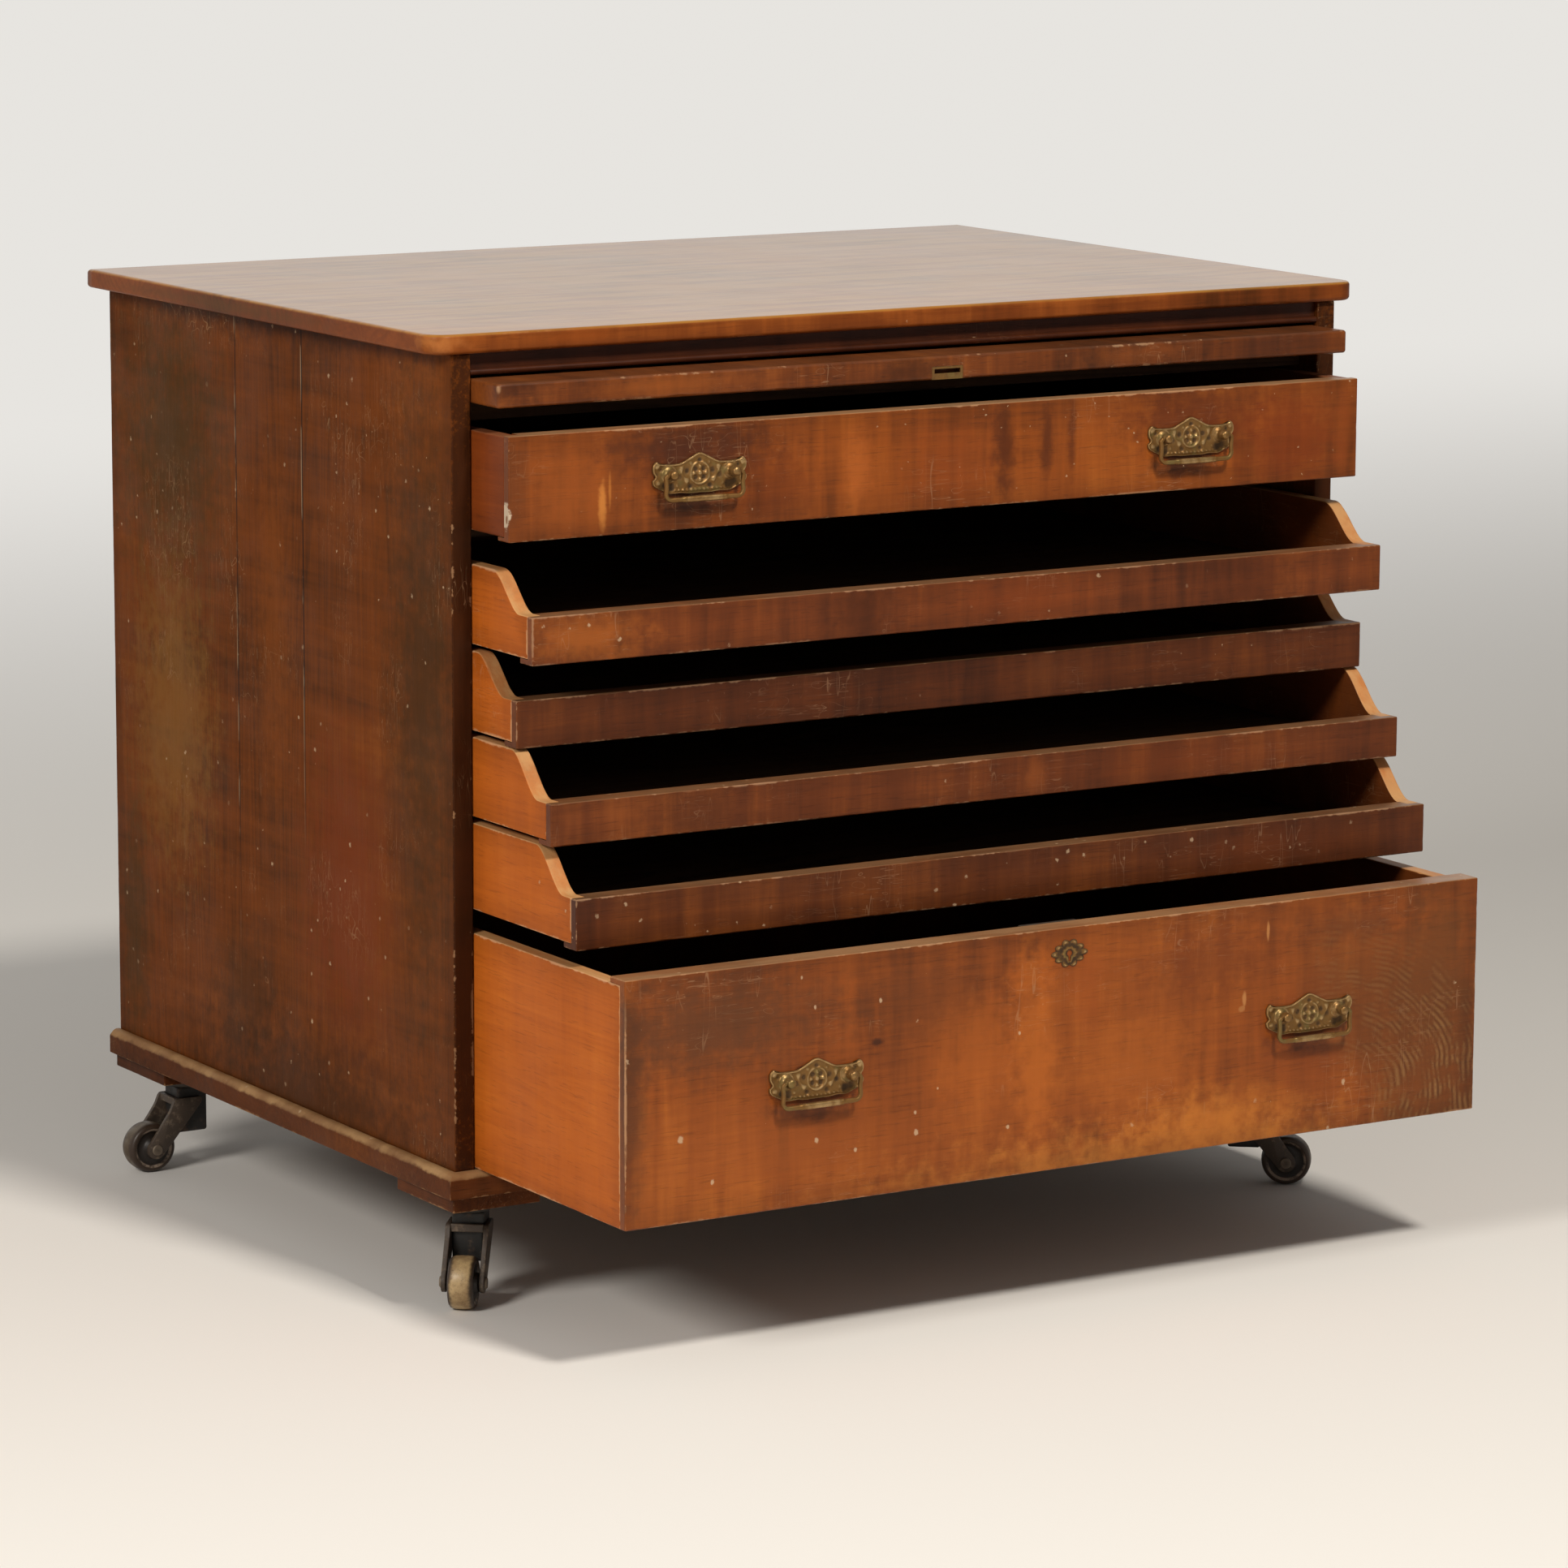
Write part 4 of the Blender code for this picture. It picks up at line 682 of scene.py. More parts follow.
def soft_corners(outline, radius, count=4):
    """Rounds the corners of a closed outline: each corner is replaced by points of a curve that starts and
    ends at the radius from it, or at a third of a shorter side, and is drawn towards it in between."""
    outline = np.array(outline, float)
    t = np.linspace(0, 1, count)[:, None]
    soft = []
    for i, corner in enumerate(outline):
        before, after = outline[i - 1] - corner, outline[(i + 1) % len(outline)] - corner
        a, b = np.linalg.norm(before), np.linalg.norm(after)
        one, two = corner + before / a * min(radius, a / 3), corner + after / b * min(radius, b / 3)
        soft.append((1 - t) ** 2 * one + 2 * t * (1 - t) * corner + t**2 * two)
    return np.concatenate(soft)


low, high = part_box("top_rail")
nose = 0.003
turn = np.linspace(-math.pi / 2, -math.pi * 3 / 2, 11)
bead = np.stack([low.y + nose + nose * np.cos(turn), low.z + nose + nose * np.sin(turn)], -1)
face = low.y + 0.005
behind, before = [[high.y, high.z], [high.y, low.z]], [[face, low.z + 0.0058], [face, high.z]]
outline = np.concatenate([behind, bead, before])
rings = run_profile(outline, low.x, high.x, 60)
points, faces = flipped(tube_faces(rings))
make_piece(
    "beaded_rail", points, faces, "carcase", board_finish("beaded_rail_wood", "rail", low, high, "x", 35),
    ["top_rail"], sharp=40,
)

# The base moulding and the corner blocks.
# A chamfered moulding is mitred round the foot of the carcase, its upper edge rubbed pale by shoes and
# brooms. Four blocks of the same wood are glued and screwed under the corners for the castors.
low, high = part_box("base_moulding")
project = 0.0123
profile = [
    (0.0003, low.z), (project, low.z), (project, high.z - 0.006), (project - 0.0045, high.z - 0.0012),
    (project - 0.0075, high.z), (0.0003, high.z),
]
profile = soft_corners(profile, 0.0015)
half_width = high.x - project


def mitred(profile, half_width, front, back, count):
    """Carries a moulding's profile along the left side, the front and the right side. Profile points are
    (distance out from the carcase, height); at each mitre the distance out counts along both walls."""
    out, level = profile[:, 0], profile[:, 1]
    rings = []
    for y in np.linspace(back, front, count)[:-1]:
        rings.append(np.stack([-half_width - out, np.full_like(out, y), level], -1))
    for share in np.linspace(0, 1, count * 2 - 1):
        rings.append(np.stack([(2 * share - 1) * (half_width + out), front - out, level], -1))
    for y in np.linspace(front, back, count)[1:]:
        rings.append(np.stack([half_width + out, np.full_like(out, y), level], -1))
    return np.array(rings)


points, faces = flipped(tube_faces(mitred(profile, half_width, front_plane, high.y, 60)))
dents = unevenness(points, 41, 0.030) * 0.7 + unevenness(points, 42, 0.010) * 0.4
dents = np.clip(dents - 0.35, 0, 1) * 0.0012
crest_height = 0.011
crest = np.clip((points[:, 2] - high.z + crest_height) / crest_height, 0, 1)
points[:, 2] -= dents * crest


def rubbed_crest(here, colour):
    """The pale band along the moulding's chamfer, where the value of the crest field is high."""
    ragged = sums("MULTIPLY_ADD", clouds(here, 60.0, 4.0, 0.65), 0.7, field(here, "crest"))
    pale = blend(between(clouds(here, 25.0, 3.0), 0.3, 0.7), (0.24, 0.115, 0.045), (0.56, 0.34, 0.150))
    return blend(between(ragged, 0.74, 1.04, 0.0, 0.95), colour, pale)


make_piece(
    "foot_moulding", points, faces, "carcase",
    board_finish("foot_moulding_wood", "foot", low, high, "x", 41, marks=rubbed_crest),
    ["base_moulding"], sharp=50, fields={"crest": crest},
)
for seed, corner in enumerate(("front_left", "front_right", "rear_left", "rear_right"), start=45):
    make_board(
        corner + "_foot_block", "foot", *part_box(corner + "_corner_block"), "carcase", "y", seed,
        [corner + "_corner_block"], "dark_mahogany", arris=0.0015,
    )

# The drawers and trays.
# Each has a mahogany front, lapped over the ends of two thinner sides of orange-brown cedar-like wood, and a
# pine bottom slid into grooves from behind. The trays' sides sweep down in an ogee to their low fronts. All
# the edges are rubbed pale where hands and paper pass.


def swept_down(points, foot, top, start, length, rise):
    """Lowers a side's top towards the front: each height is scaled by the side's height there, which runs
    from the rise up to the full height in an ogee, three times the share squared less twice its cube."""
    share = np.clip((points[:, 1] - start) / length, 0, 1)
    full = top - foot
    height = rise + (full - rise) * (3 * share**2 - 2 * share**3)
    points[:, 2] = foot + (points[:, 2] - foot) * height / full
    return points


def notched(points, low, high, thickness, lap, foot, top):
    """Cuts the two notches for the ends of the sides into the back of a front: behind the lap and between the
    notch's foot and top, points outside the sides' inner faces are drawn in to those faces."""
    for wall, outward in ((low.x + thickness, -1), (high.x - thickness, 1)):
        reach = (points[:, 0] - wall) * outward
        behind = (reach > 0) & (points[:, 1] > lap) & (points[:, 2] > foot) & (points[:, 2] < top)
        points[behind, 0] = wall + outward * reach[behind] * 0.02
    return points


def crotch_swirl(here, colour):
    """The swirl at the deep drawer's lower right corner, where the board was cut from a fork in the trunk:
    faint rings round a point, bent and broken by clouds, over a dusky ground. They show most towards the
    corner."""
    parts = axes(vectors("SUBTRACT", here, (0.318, 0.0, 0.160)))
    reach = sums("SQRT", sums("MULTIPLY_ADD", parts[0], parts[0], times(parts[2], parts[2])))
    bent = sums("MULTIPLY_ADD", minus(clouds(here, 8.0, 2.0), 0.5), 0.050, reach)
    bent = sums("MULTIPLY_ADD", minus(clouds(here, 60.0, 3.0), 0.5), 0.0045, bent)
    wave = sums("MULTIPLY_ADD", sums("SINE", times(bent, math.tau / 0.0064)), 0.5, 0.5)
    broken = between(clouds(here, 42.0, 4.0, 0.65), 0.42, 0.64)
    inside = times(between(reach, 0.030, 0.080), between(reach, 0.215, 0.135))
    side = between(sums("MULTIPLY_ADD", parts[2], 0.35, parts[0]), -0.020, 0.060)
    corner = between(sums("MULTIPLY_ADD", parts[2], -0.9, parts[0]), -0.060, 0.130, 0.35, 1.0)
    ground = times(inside, side)
    share = times(ground, times(broken, corner))
    dusky = blend(times(ground, 0.60), colour, (0.135, 0.043, 0.010))
    dusky = blend(times(share, 0.55), dusky, (0.062, 0.023, 0.008))
    return blend(times(times(wave, share), 0.72), dusky, (0.330, 0.160, 0.052))


def shaded_inside(here, colour, wall, brim):
    """Painted shade on the faces of the sides and the back that look into a drawer: darker and redder than the
    outside, and darker still further down. They lie nearer to the middle than a wall's place; the painted shade
    is lighter at the brim."""
    parts = axes(here)
    within = between(sums("ABSOLUTE", parts[0]), wall, wall - 0.0012)
    shaded = times(within, between(clouds(here, 12.0, 4.0, 0.6), 0.30, 0.70, 0.98, 0.80))
    deep = blend(between(parts[2], brim, brim - 0.10), (0.105, 0.028, 0.007), (0.045, 0.013, 0.005))
    return blend(shaded, colour, deep)


def on_front(face, rows, deep=0.02):
    """Patches on a front. Where a place has two numbers it lies on the face, and where a size has two numbers
    it reaches the given depth into the board."""
    patches = []
    for place, size, *rest in rows:
        place = place if len(place) > 2 else (place[0], face, place[1])
        size = size if len(size) > 2 else (size[0], deep, size[1])
        patches.append((place, size, *rest))
    return patches


top_face, deep_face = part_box("top_drawer_front")[0].y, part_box("bottom_drawer_front")[0].y
front_stains_and_shadows = {
    "top_drawer": on_front(top_face, [
        ((-0.410, 0.800), (0.090, 0.070), (0.320, 0.086, 0.014), 0.6, 0.9),
        ((-0.290, 0.832), (0.140, 0.042), (0.072, 0.020, 0.008), 0.90, 0.9),
        ((-0.200, 0.790), (0.060, 0.050), (0.150, 0.034, 0.007), 0.60, 0.9),
        ((-0.105, 0.800), (0.020, 0.060), (0.430, 0.120, 0.020), 0.75, 0.9),
        ((0.000, 0.800), (0.080, 0.070), (0.260, 0.058, 0.009), 0.55, 0.9),
        ((0.062, 0.810), (0.020, 0.080), (0.070, 0.018, 0.006), 0.80, 0.9),
        ((0.112, 0.815), (0.011, 0.070), (0.062, 0.016, 0.006), 0.75, 0.9),
        ((0.142, 0.815), (0.007, 0.060), (0.075, 0.018, 0.006), 0.65, 0.9),
        ((0.280, 0.828), (0.110, 0.055), (0.105, 0.024, 0.007), 0.80, 0.9),
        ((0.405, 0.800), (0.095, 0.075), (0.190, 0.036, 0.006), 0.75, 0.9),
        ((0.470, 0.800), (0.014, 0.060), (0.300, 0.070, 0.012), 0.55, 0.9),
        ((-0.4882, top_face, 0.805), (0.030, 0.05, 0.080), (0.150, 0.050, 0.018), 0.45, 0.9),
        # The next two are painted shadows cast by the bails under the two handles, with a little dirt where they
        # rub.
        ((-0.289, 0.784), (0.058, 0.018), (0.026, 0.009, 0.004), 0.90, 0.85),
        ((0.279, 0.784), (0.058, 0.018), (0.026, 0.009, 0.004), 0.90, 0.85),
        ((-0.388, 0.786), (0.0060, 0.030), (0.640, 0.250, 0.050), 0.85, 0.7),
        ((-0.380, 0.797), (0.0022, 0.024), (0.560, 0.210, 0.040), 0.60, 0.7),
        ((-0.4882, top_face + 0.0060, 0.781), (0.004, 0.0086, 0.0125), (0.72, 0.56, 0.40), 1.0, 0.25),
        ((-0.4882, top_face + 0.0040, 0.778), (0.006, 0.0022, 0.0040), (0.30, 0.15, 0.07), 1.0, 0.3),
    ]),
    "tray_1": on_front(0, [
        ((-0.430, 0.670), (0.100, 0.040), (0.420, 0.120, 0.018), 0.8, 0.9),
        ((0.060, 0.670), (0.120, 0.040), (0.240, 0.052, 0.009), 0.6, 0.9),
        ((-0.130, 0.670), (0.060, 0.040), (0.070, 0.019, 0.006), 0.7, 0.9),
        ((0.330, 0.670), (0.090, 0.040), (0.085, 0.021, 0.006), 0.6, 0.9),
    ], 9.0),
    "tray_2": on_front(0, [((0.100, 0.590), (0.030, 0.040), (0.160, 0.045, 0.010), 0.6, 0.9)], 9.0),
    "tray_3": on_front(0, [
        ((0.050, 0.500), (0.020, 0.040), (0.310, 0.085, 0.016), 0.7, 0.9),
        ((0.240, 0.500), (0.150, 0.040), (0.190, 0.042, 0.008), 0.5, 0.9),
        ((-0.330, 0.500), (0.090, 0.040), (0.060, 0.017, 0.006), 0.5, 0.9),
    ], 9.0),
    "tray_4": on_front(0, [((0.300, 0.410), (0.120, 0.040), (0.170, 0.040, 0.009), 0.5, 0.9)], 9.0),
    "bottom_drawer": on_front(deep_face, [
        ((-0.400, 0.330), (0.200, 0.070), (0.115, 0.042, 0.014), 0.85, 0.9),
        ((-0.485, 0.260), (0.030, 0.150), (0.100, 0.038, 0.014), 0.75, 0.9),
        ((-0.4882, deep_face, 0.270), (0.0024, 0.0024, 0.130), (0.460, 0.290, 0.160), 0.75, 0.8),
        ((-0.330, 0.205), (0.200, 0.060), (0.330, 0.090, 0.015), 0.55, 0.9),
        ((-0.170, 0.330), (0.090, 0.070), (0.150, 0.044, 0.010), 0.65, 0.9),
        ((-0.100, 0.262), (0.075, 0.085), (0.440, 0.118, 0.014), 0.60, 0.9),
        ((-0.044, 0.338), (0.040, 0.030), (0.470, 0.120, 0.013), 0.65, 0.9),
        ((-0.038, 0.262), (0.034, 0.150), (0.480, 0.135, 0.016), 0.80, 0.9),
        ((0.080, 0.235), (0.110, 0.080), (0.440, 0.125, 0.016), 0.60, 0.9),
        ((0.020, 0.320), (0.030, 0.070), (0.330, 0.080, 0.011), 0.55, 0.9),
        ((0.080, 0.124), (0.440, 0.074), (0.580, 0.215, 0.034), 0.90, 0.99),
        ((0.160, 0.330), (0.110, 0.060), (0.170, 0.042, 0.008), 0.75, 0.9),
        ((0.170, 0.172), (0.140, 0.045), (0.580, 0.200, 0.028), 0.70, 0.98),
        ((0.280, 0.240), (0.080, 0.080), (0.240, 0.055, 0.009), 0.60, 0.9),
        ((0.440, 0.300), (0.080, 0.130), (0.150, 0.054, 0.013), 0.75, 0.9),
        ((0.330, 0.350), (0.120, 0.030), (0.120, 0.036, 0.010), 0.65, 0.9),
        ((0.233, 0.352), (0.0020, 0.012), (0.560, 0.260, 0.080), 0.8, 0.6),
        ((0.206, 0.288), (0.0034, 0.010), (0.560, 0.270, 0.090), 0.8, 0.6),
        ((0.203, 0.278), (0.0050, 0.004), (0.500, 0.240, 0.080), 0.6, 0.6),
        ((-0.215, 0.292), (0.010, 0.005), (0.045, 0.014, 0.006), 0.9, 0.7),
        ((-0.300, 0.276), (0.008, 0.004), (0.050, 0.016, 0.007), 0.7, 0.7),
        # The next two are painted shadows cast by the bails under the two handles, with a little dirt where they
        # rub.
        ((-0.289, 0.240), (0.058, 0.018), (0.038, 0.011, 0.004), 0.85, 0.85),
        ((0.279, 0.240), (0.058, 0.018), (0.038, 0.011, 0.004), 0.85, 0.85),
    ]),
}
# Drops of paint on the deep drawer: the place of each along and up, and its reach in millimetres.
paint_spots = (
    (-0.173, 0.220, 2.0), (-0.172, 0.200, 3.0), (-0.068, 0.193, 2.2), (-0.282, 0.206, 2.8),
    (-0.239, 0.192, 2.2), (-0.429, 0.224, 3.6), (-0.212, 0.332, 2.2), (-0.284, 0.333, 1.8),
    (-0.148, 0.240, 1.4), (-0.056, 0.283, 1.8), (-0.299, 0.363, 1.6), (-0.395, 0.180, 2.4),
    (0.327, 0.191, 2.8), (0.309, 0.147, 2.2),
)
front_stains_and_shadows["bottom_drawer"] += on_front(
    deep_face,
    [((x, z), (reach / 1000, reach / 800), (0.560, 0.380, 0.230), 0.75, 0.5) for x, z, reach in paint_spots],
)
tray_shades = {"tray_1": 1.10, "tray_2": 0.66, "tray_3": 0.95, "tray_4": 0.70}
drawer_names = ("top_drawer", "tray_1", "tray_2", "tray_3", "tray_4", "bottom_drawer")
for seed, drawer in enumerate(drawer_names, start=60):
    is_tray = drawer.startswith("tray")
    low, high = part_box(drawer + "_front")
    walls_low, walls_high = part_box(drawer + "_sides")
    thickness = 0.015 if is_tray else 0.016
    notch_foot = walls_low.z - 0.0003
    notch_top = walls_high.z + 0.0003 if drawer == "bottom_drawer" else high.z + 0.001
    inner_left, inner_right = low.x + thickness, high.x - thickness
    lines = (
        (inner_left - 0.0006, inner_left - 0.0003, inner_right + 0.0003, inner_right + 0.0006),
        (walls_low.y - 0.0003, walls_low.y - 0.0001),
        (notch_foot - 0.0001, notch_foot + 0.0001)
        + ((notch_top - 0.0001, notch_top + 0.0001) if notch_top < high.z else ()),
    )
    make_board(
        drawer + "_face_board", "tray_front" if is_tray else "front", low, high, drawer, "x", seed,
        [drawer + "_front"], "figured_mahogany", arris=0.0013, step=0.005, extra=lines, sharp=40,
        shape=lambda p: notched(
            p, low, high, thickness - 0.0003, walls_low.y - 0.0002, notch_foot, notch_top
        ),
        patches=front_stains_and_shadows.get(drawer, ()), shade=tray_shades.get(drawer, 1.0),
        marks=crotch_swirl if drawer == "bottom_drawer" else None,
    )
    rise, ramp_start, ramp_length = high.z - walls_low.z, high.y + 0.0003, 0.052
    ramp = np.linspace(ramp_start, ramp_start + ramp_length, 28)
    parts = []
    for left in (walls_low.x, walls_high.x - thickness):
        side_low = np.array([left, walls_low.y, walls_low.z])
        side_high = np.array([left + thickness, walls_high.y, walls_high.z])
        points, faces = board_surface(side_low, side_high, 0.0013, 0.012, ((), ramp, ()))
        points = knocked(points, side_low, side_high, seed + 10, depth=0.0009, arris=0.0013)
        if is_tray:
            points = swept_down(points, walls_low.z, walls_high.z, ramp_start, ramp_length, rise)
        parts.append((points, faces))
    back_low = np.array([walls_low.x + thickness + 0.0001, walls_high.y - 0.016, walls_low.z + 0.0103])
    back_high = np.array([walls_high.x - thickness - 0.0001, walls_high.y - 0.004, walls_high.z - 0.006])
    parts.append(board_surface(back_low, back_high, 0.0013, 0.02))
    points, faces = merged(*parts)
    # The inner faces of the walls take painted shade.
    wood = board_finish(
        drawer + "_walls_wood", "red_side" if drawer == "top_drawer" else "cedar", walls_low, walls_high, "y",
        seed + 20,
        marks=lambda here, colour: shaded_inside(
            here, colour, walls_high.x - thickness + 0.0012, walls_high.z - 0.003
        ),
    )
    make_piece(
        drawer + "_walls", points, faces, drawer, wood, [drawer + "_sides"], sharp=60
    )
    wood = board_finish(drawer + "_bottom_wood", "pine", *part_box(drawer + "_bottom"), "x", seed + 30)
    painted(drawer + "_bottom", wood)

# The flap.
# A mahogany board as wide as the opening, drawn out on its shelf. It hangs down over the drawer when it is
# shut, and its front edge, worn pale above, carries the brass plate of its lock.
low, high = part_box("flap_board")
lock_low, lock_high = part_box("flap_lock")


def recessed(points, low, lock_low, lock_high, depth):
    """Sinks the seat of the lock plate into the flap's front edge."""
    inside = (points[:, 1] < low.y + 0.001) & (points[:, 0] > lock_low.x) & (points[:, 0] < lock_high.x)
    inside &= points[:, 2] < lock_high.z
    points[inside, 1] += depth
    return points


flap_stains = [
    ((low.x + 0.02, low.y, high.z), (0.050, 0.020, 0.030), (0.055, 0.016, 0.006), 0.85, 0.9),
    (
        (low.x + 0.0010, low.y + 0.0012, high.z - 0.0040), (0.0035, 0.003, 0.0055), (0.46, 0.28, 0.15), 0.8, 0.8,
    ),
    ((-0.300, low.y, low.z + 0.012), (0.120, 0.012, 0.020), (0.340, 0.095, 0.015), 0.65, 0.9),
    ((lock_low.x - 0.02, low.y, low.z + 0.010), (0.060, 0.012, 0.030), (0.055, 0.017, 0.006), 0.80, 0.9),
    ((0.220, low.y, low.z + 0.012), (0.100, 0.012, 0.020), (0.300, 0.080, 0.013), 0.55, 0.9),
    ((0.400, low.y, low.z + 0.012), (0.100, 0.012, 0.030), (0.090, 0.024, 0.007), 0.60, 0.9),
]
seat_lines = (
    (lock_low.x, lock_low.x + 0.0003, lock_high.x - 0.0003, lock_high.x),
    (),
    (lock_high.z - 0.0003, lock_high.z),
)
play = Vector((0.0001,) * 3)
make_board(
    "flap_panel", "flap", low, high, "flap", "x", 92, ["flap_board"], "figured_mahogany", arris=0.0030,
    step=0.006, sharp=60, patches=flap_stains, extra=seat_lines,
    shape=lambda p: recessed(p, low, lock_low + play, lock_high - play, 0.0120),
)

# The brasses.
# Stamped backplates, turned posts and cast drop bails in yellow brass that has gone olive and brown, dark in
# the hollows and bright where hands rub it.


def brass_material(name="tarnished_brass", dirt=0.0):
    """Tarnished brass. A field says how far a point stands out from its plate's ground: the hollows are black
    with wax and dirt, the middle heights golden brown with olive clouds, and the rubbed crests pale."""
    material, shader, here = new_finish(name)
    cloudy = clouds(here, 150.0, 3.0, 0.6)
    fine = clouds(here, 800.0, 3.0, 0.6)
    clean = sums("MULTIPLY_ADD", minus(cloudy, 0.5), 0.55, field(here, "stands_out"))
    clean = minus(clean, dirt, clamp=True)
    colour = blend(between(clean, 0.02, 0.58), (0.036, 0.018, 0.007), (0.200, 0.100, 0.027))
    olive = between(clouds(here, 55.0, 2.0, 0.5), 0.52, 0.64, 0.0, 0.45)
    colour = blend(times(olive, between(clean, 0.3, 0.6)), colour, (0.165, 0.155, 0.055))
    colour = blend(between(clean, 0.62, 1.0), colour, (0.460, 0.300, 0.135))
    colour = blend(between(fine, 0.60, 0.74, 0.0, 0.35), colour, (0.050, 0.030, 0.013))
    feed(
        shader,
        {
            "Base Color": colour, "Roughness": between(clean, 0.0, 1.0, 0.62, 0.36),
            "Metallic": between(clean, 0.20, 0.8, 0.15, 0.70), "Specular IOR Level": 0.3,
            "Normal": bumped(fine, 0.15, 0.0003),
        },
    )
    return material


brass = brass_material()
dull_brass = brass_material("dull_brass", 0.30)


def smooth_loop(corners, count):
    """A closed curve through the corners: between two corners each point is a cubic blend of the four
    nearest."""
    corners = np.array(corners, float)
    t = np.linspace(0, 1, count, endpoint=False)[:, None]
    pieces = []
    for i in range(len(corners)):
        a, b, c, d = (corners[(i + step) % len(corners)] for step in (-1, 0, 1, 2))
        curve = 2 * b + (c - a) * t + (2 * a - 5 * b + 4 * c - d) * t**2 + (3 * b - a - 3 * c + d) * t**3
        pieces.append(curve / 2)
    return np.concatenate(pieces)


def relief(x, z):
    """The stamped relief of a backplate, as a height between 0 and 1 over the place on the plate in
    millimetres: round bosses and hollows that make a rosette in a ring, a hollow under the peak, a scroll on
    each side of the rosette, a collar round each post over a dark hollow, and a row of beads along the foot.
    The halves mirror."""
    mirrored = np.abs(x)
    height = np.full_like(x, 0.42)
    bosses = (
        (0.0, 3.4, 2.0, 0.9), (0.0, 9.6, 1.9, 0.6), (0.0, -2.8, 1.9, 0.6), (6.4, 3.4, 1.9, 0.6),
        (14.2, -3.0, 2.2, 0.6), (21.0, 8.6, 2.4, 0.5), (46.5, 11.8, 2.6, 0.7), (46.0, -4.0, 2.6, 0.6),
        (25.5, -7.5, 2.2, 0.5), (10.0, 13.2, 1.8, 0.4), (4.4, 7.4, 2.1, -0.9), (4.4, -0.6, 2.1, -0.9),
        (0.0, 15.2, 2.4, -0.7), (14.0, 5.8, 2.5, -0.7), (21.5, 0.6, 2.6, -0.7), (42.0, 8.6, 2.2, -0.6),
        (48.2, 3.6, 2.4, -0.5), (11.0, -8.6, 2.4, -0.6), (30.0, -8.4, 3.6, -0.8), (37.0, -6.4, 3.6, -0.8),
    )
    for across, level, wide, tall in bosses:
        height = height + tall * np.exp(-(((mirrored - across) ** 2 + (z - level) ** 2) / wide**2))
    height = height + 0.45 * np.exp(-(((np.hypot(mirrored, z - 3.4) - 10.4) / 1.2) ** 2))
    height = height + 0.40 * np.exp(-(((np.hypot(mirrored - 34, z - 4) - 7.8) / 1.4) ** 2))
    scroll = np.exp(-(((mirrored - 17.5 - 3.0 * np.sin(z / 3.6)) / 1.3) ** 2)) * np.exp(-(((z - 2) / 9) ** 2))
    beads = np.exp(-(((z + 12.0) / 1.4) ** 2)) * (0.5 + 0.5 * np.cos(mirrored * math.tau / 4.6))
    beads = beads * (mirrored < 28)
    return np.clip(height + 0.45 * scroll + 0.5 * beads, 0, 1)


def plate_surface(outline, centre, back, front, depth, pattern):
    """A stamped plate: its outline shrinks towards the centre in rings on the back and again on the front.
    The front stands higher inside its edge, where the pattern of heights shapes it, and along its outline
    runs a raised rim: a bell curve over the distance to the nearest point of the outline."""
    rings = [(outline * share, back) for share in (0.25, 0.5, 0.75, 0.93, 1.0)]
    for share, lift in ((1.0, 0.35), (0.992, 0.7), (0.980, 0.9)):
        rings.append((outline * share, front + depth * (1 - lift)))
    for share in np.linspace(0.965, 0.02, 40):
        ring = outline * share
        near = np.linalg.norm(ring[:, None] - outline[None], axis=2).min(1) * 1000
        rim = np.exp(-(((near - 1.1) / 0.75) ** 2))
        inner = np.clip((near - 1.2) / 1.2, 0, 1)
        upper = np.clip((ring[:, 1] + 0.004) / 0.006, 0.45, 1)
        lift = np.clip(rim * 0.95 * upper + pattern(ring[:, 0] * 1000, ring[:, 1] * 1000) * inner, 0, 1)
        rings.append((ring, front + depth * (1 - lift)))
    rings = [np.stack([ring[:, 0], np.broadcast_to(y, len(ring)), ring[:, 1]], -1) for ring, y in rings]
    return tube_faces(np.array(rings) + (centre[0], 0, centre[1]))


def turned(profile, centre, back, count=24):
    """A turned piece on an axis along Y: a row of (radius, distance out from the back) carried round a
    circle."""
    angles = np.linspace(0, math.tau, count, endpoint=False)
    rings = [
        (centre[0] + radius * np.cos(angles), np.full(count, back - out), centre[1] + radius * np.sin(angles))
        for radius, out in profile
    ]
    return tube_faces(np.array(rings).transpose(0, 2, 1))


# One half of the backplate's outline, in millimetres; the peak stands between the halves.
half_plate = [
    (0.0, -15.2), (12, -15.4), (22, -14.4), (33, -14.6), (41.5, -11.2), (49.8, -7.0), (51.7, -2.0), (48.6, 1.5),
    (51.2, 6.5), (51.0, 12.6), (47.4, 16.3), (42.6, 14.2), (34, 13.4), (25, 13.4), (19.5, 14.4), (11, 18.4),
    (3.2, 22.2),
]
half_plate = np.array(half_plate) / 1000
plate_outline = np.concatenate([half_plate, [[0.0, 0.0228]], half_plate[:0:-1] * (-1, 1)])
plate_outline = smooth_loop(plate_outline, 7)
post_profile = [
    (0.0006, 0.0), (0.0078, 0.0), (0.0080, 0.0012), (0.0066, 0.0022), (0.0044, 0.0030), (0.0040, 0.0058),
    (0.0050, 0.0066), (0.0050, 0.0106), (0.0042, 0.0118), (0.0046, 0.0126), (0.0038, 0.0140), (0.0018, 0.0146),
    (0.0003, 0.0148),
]


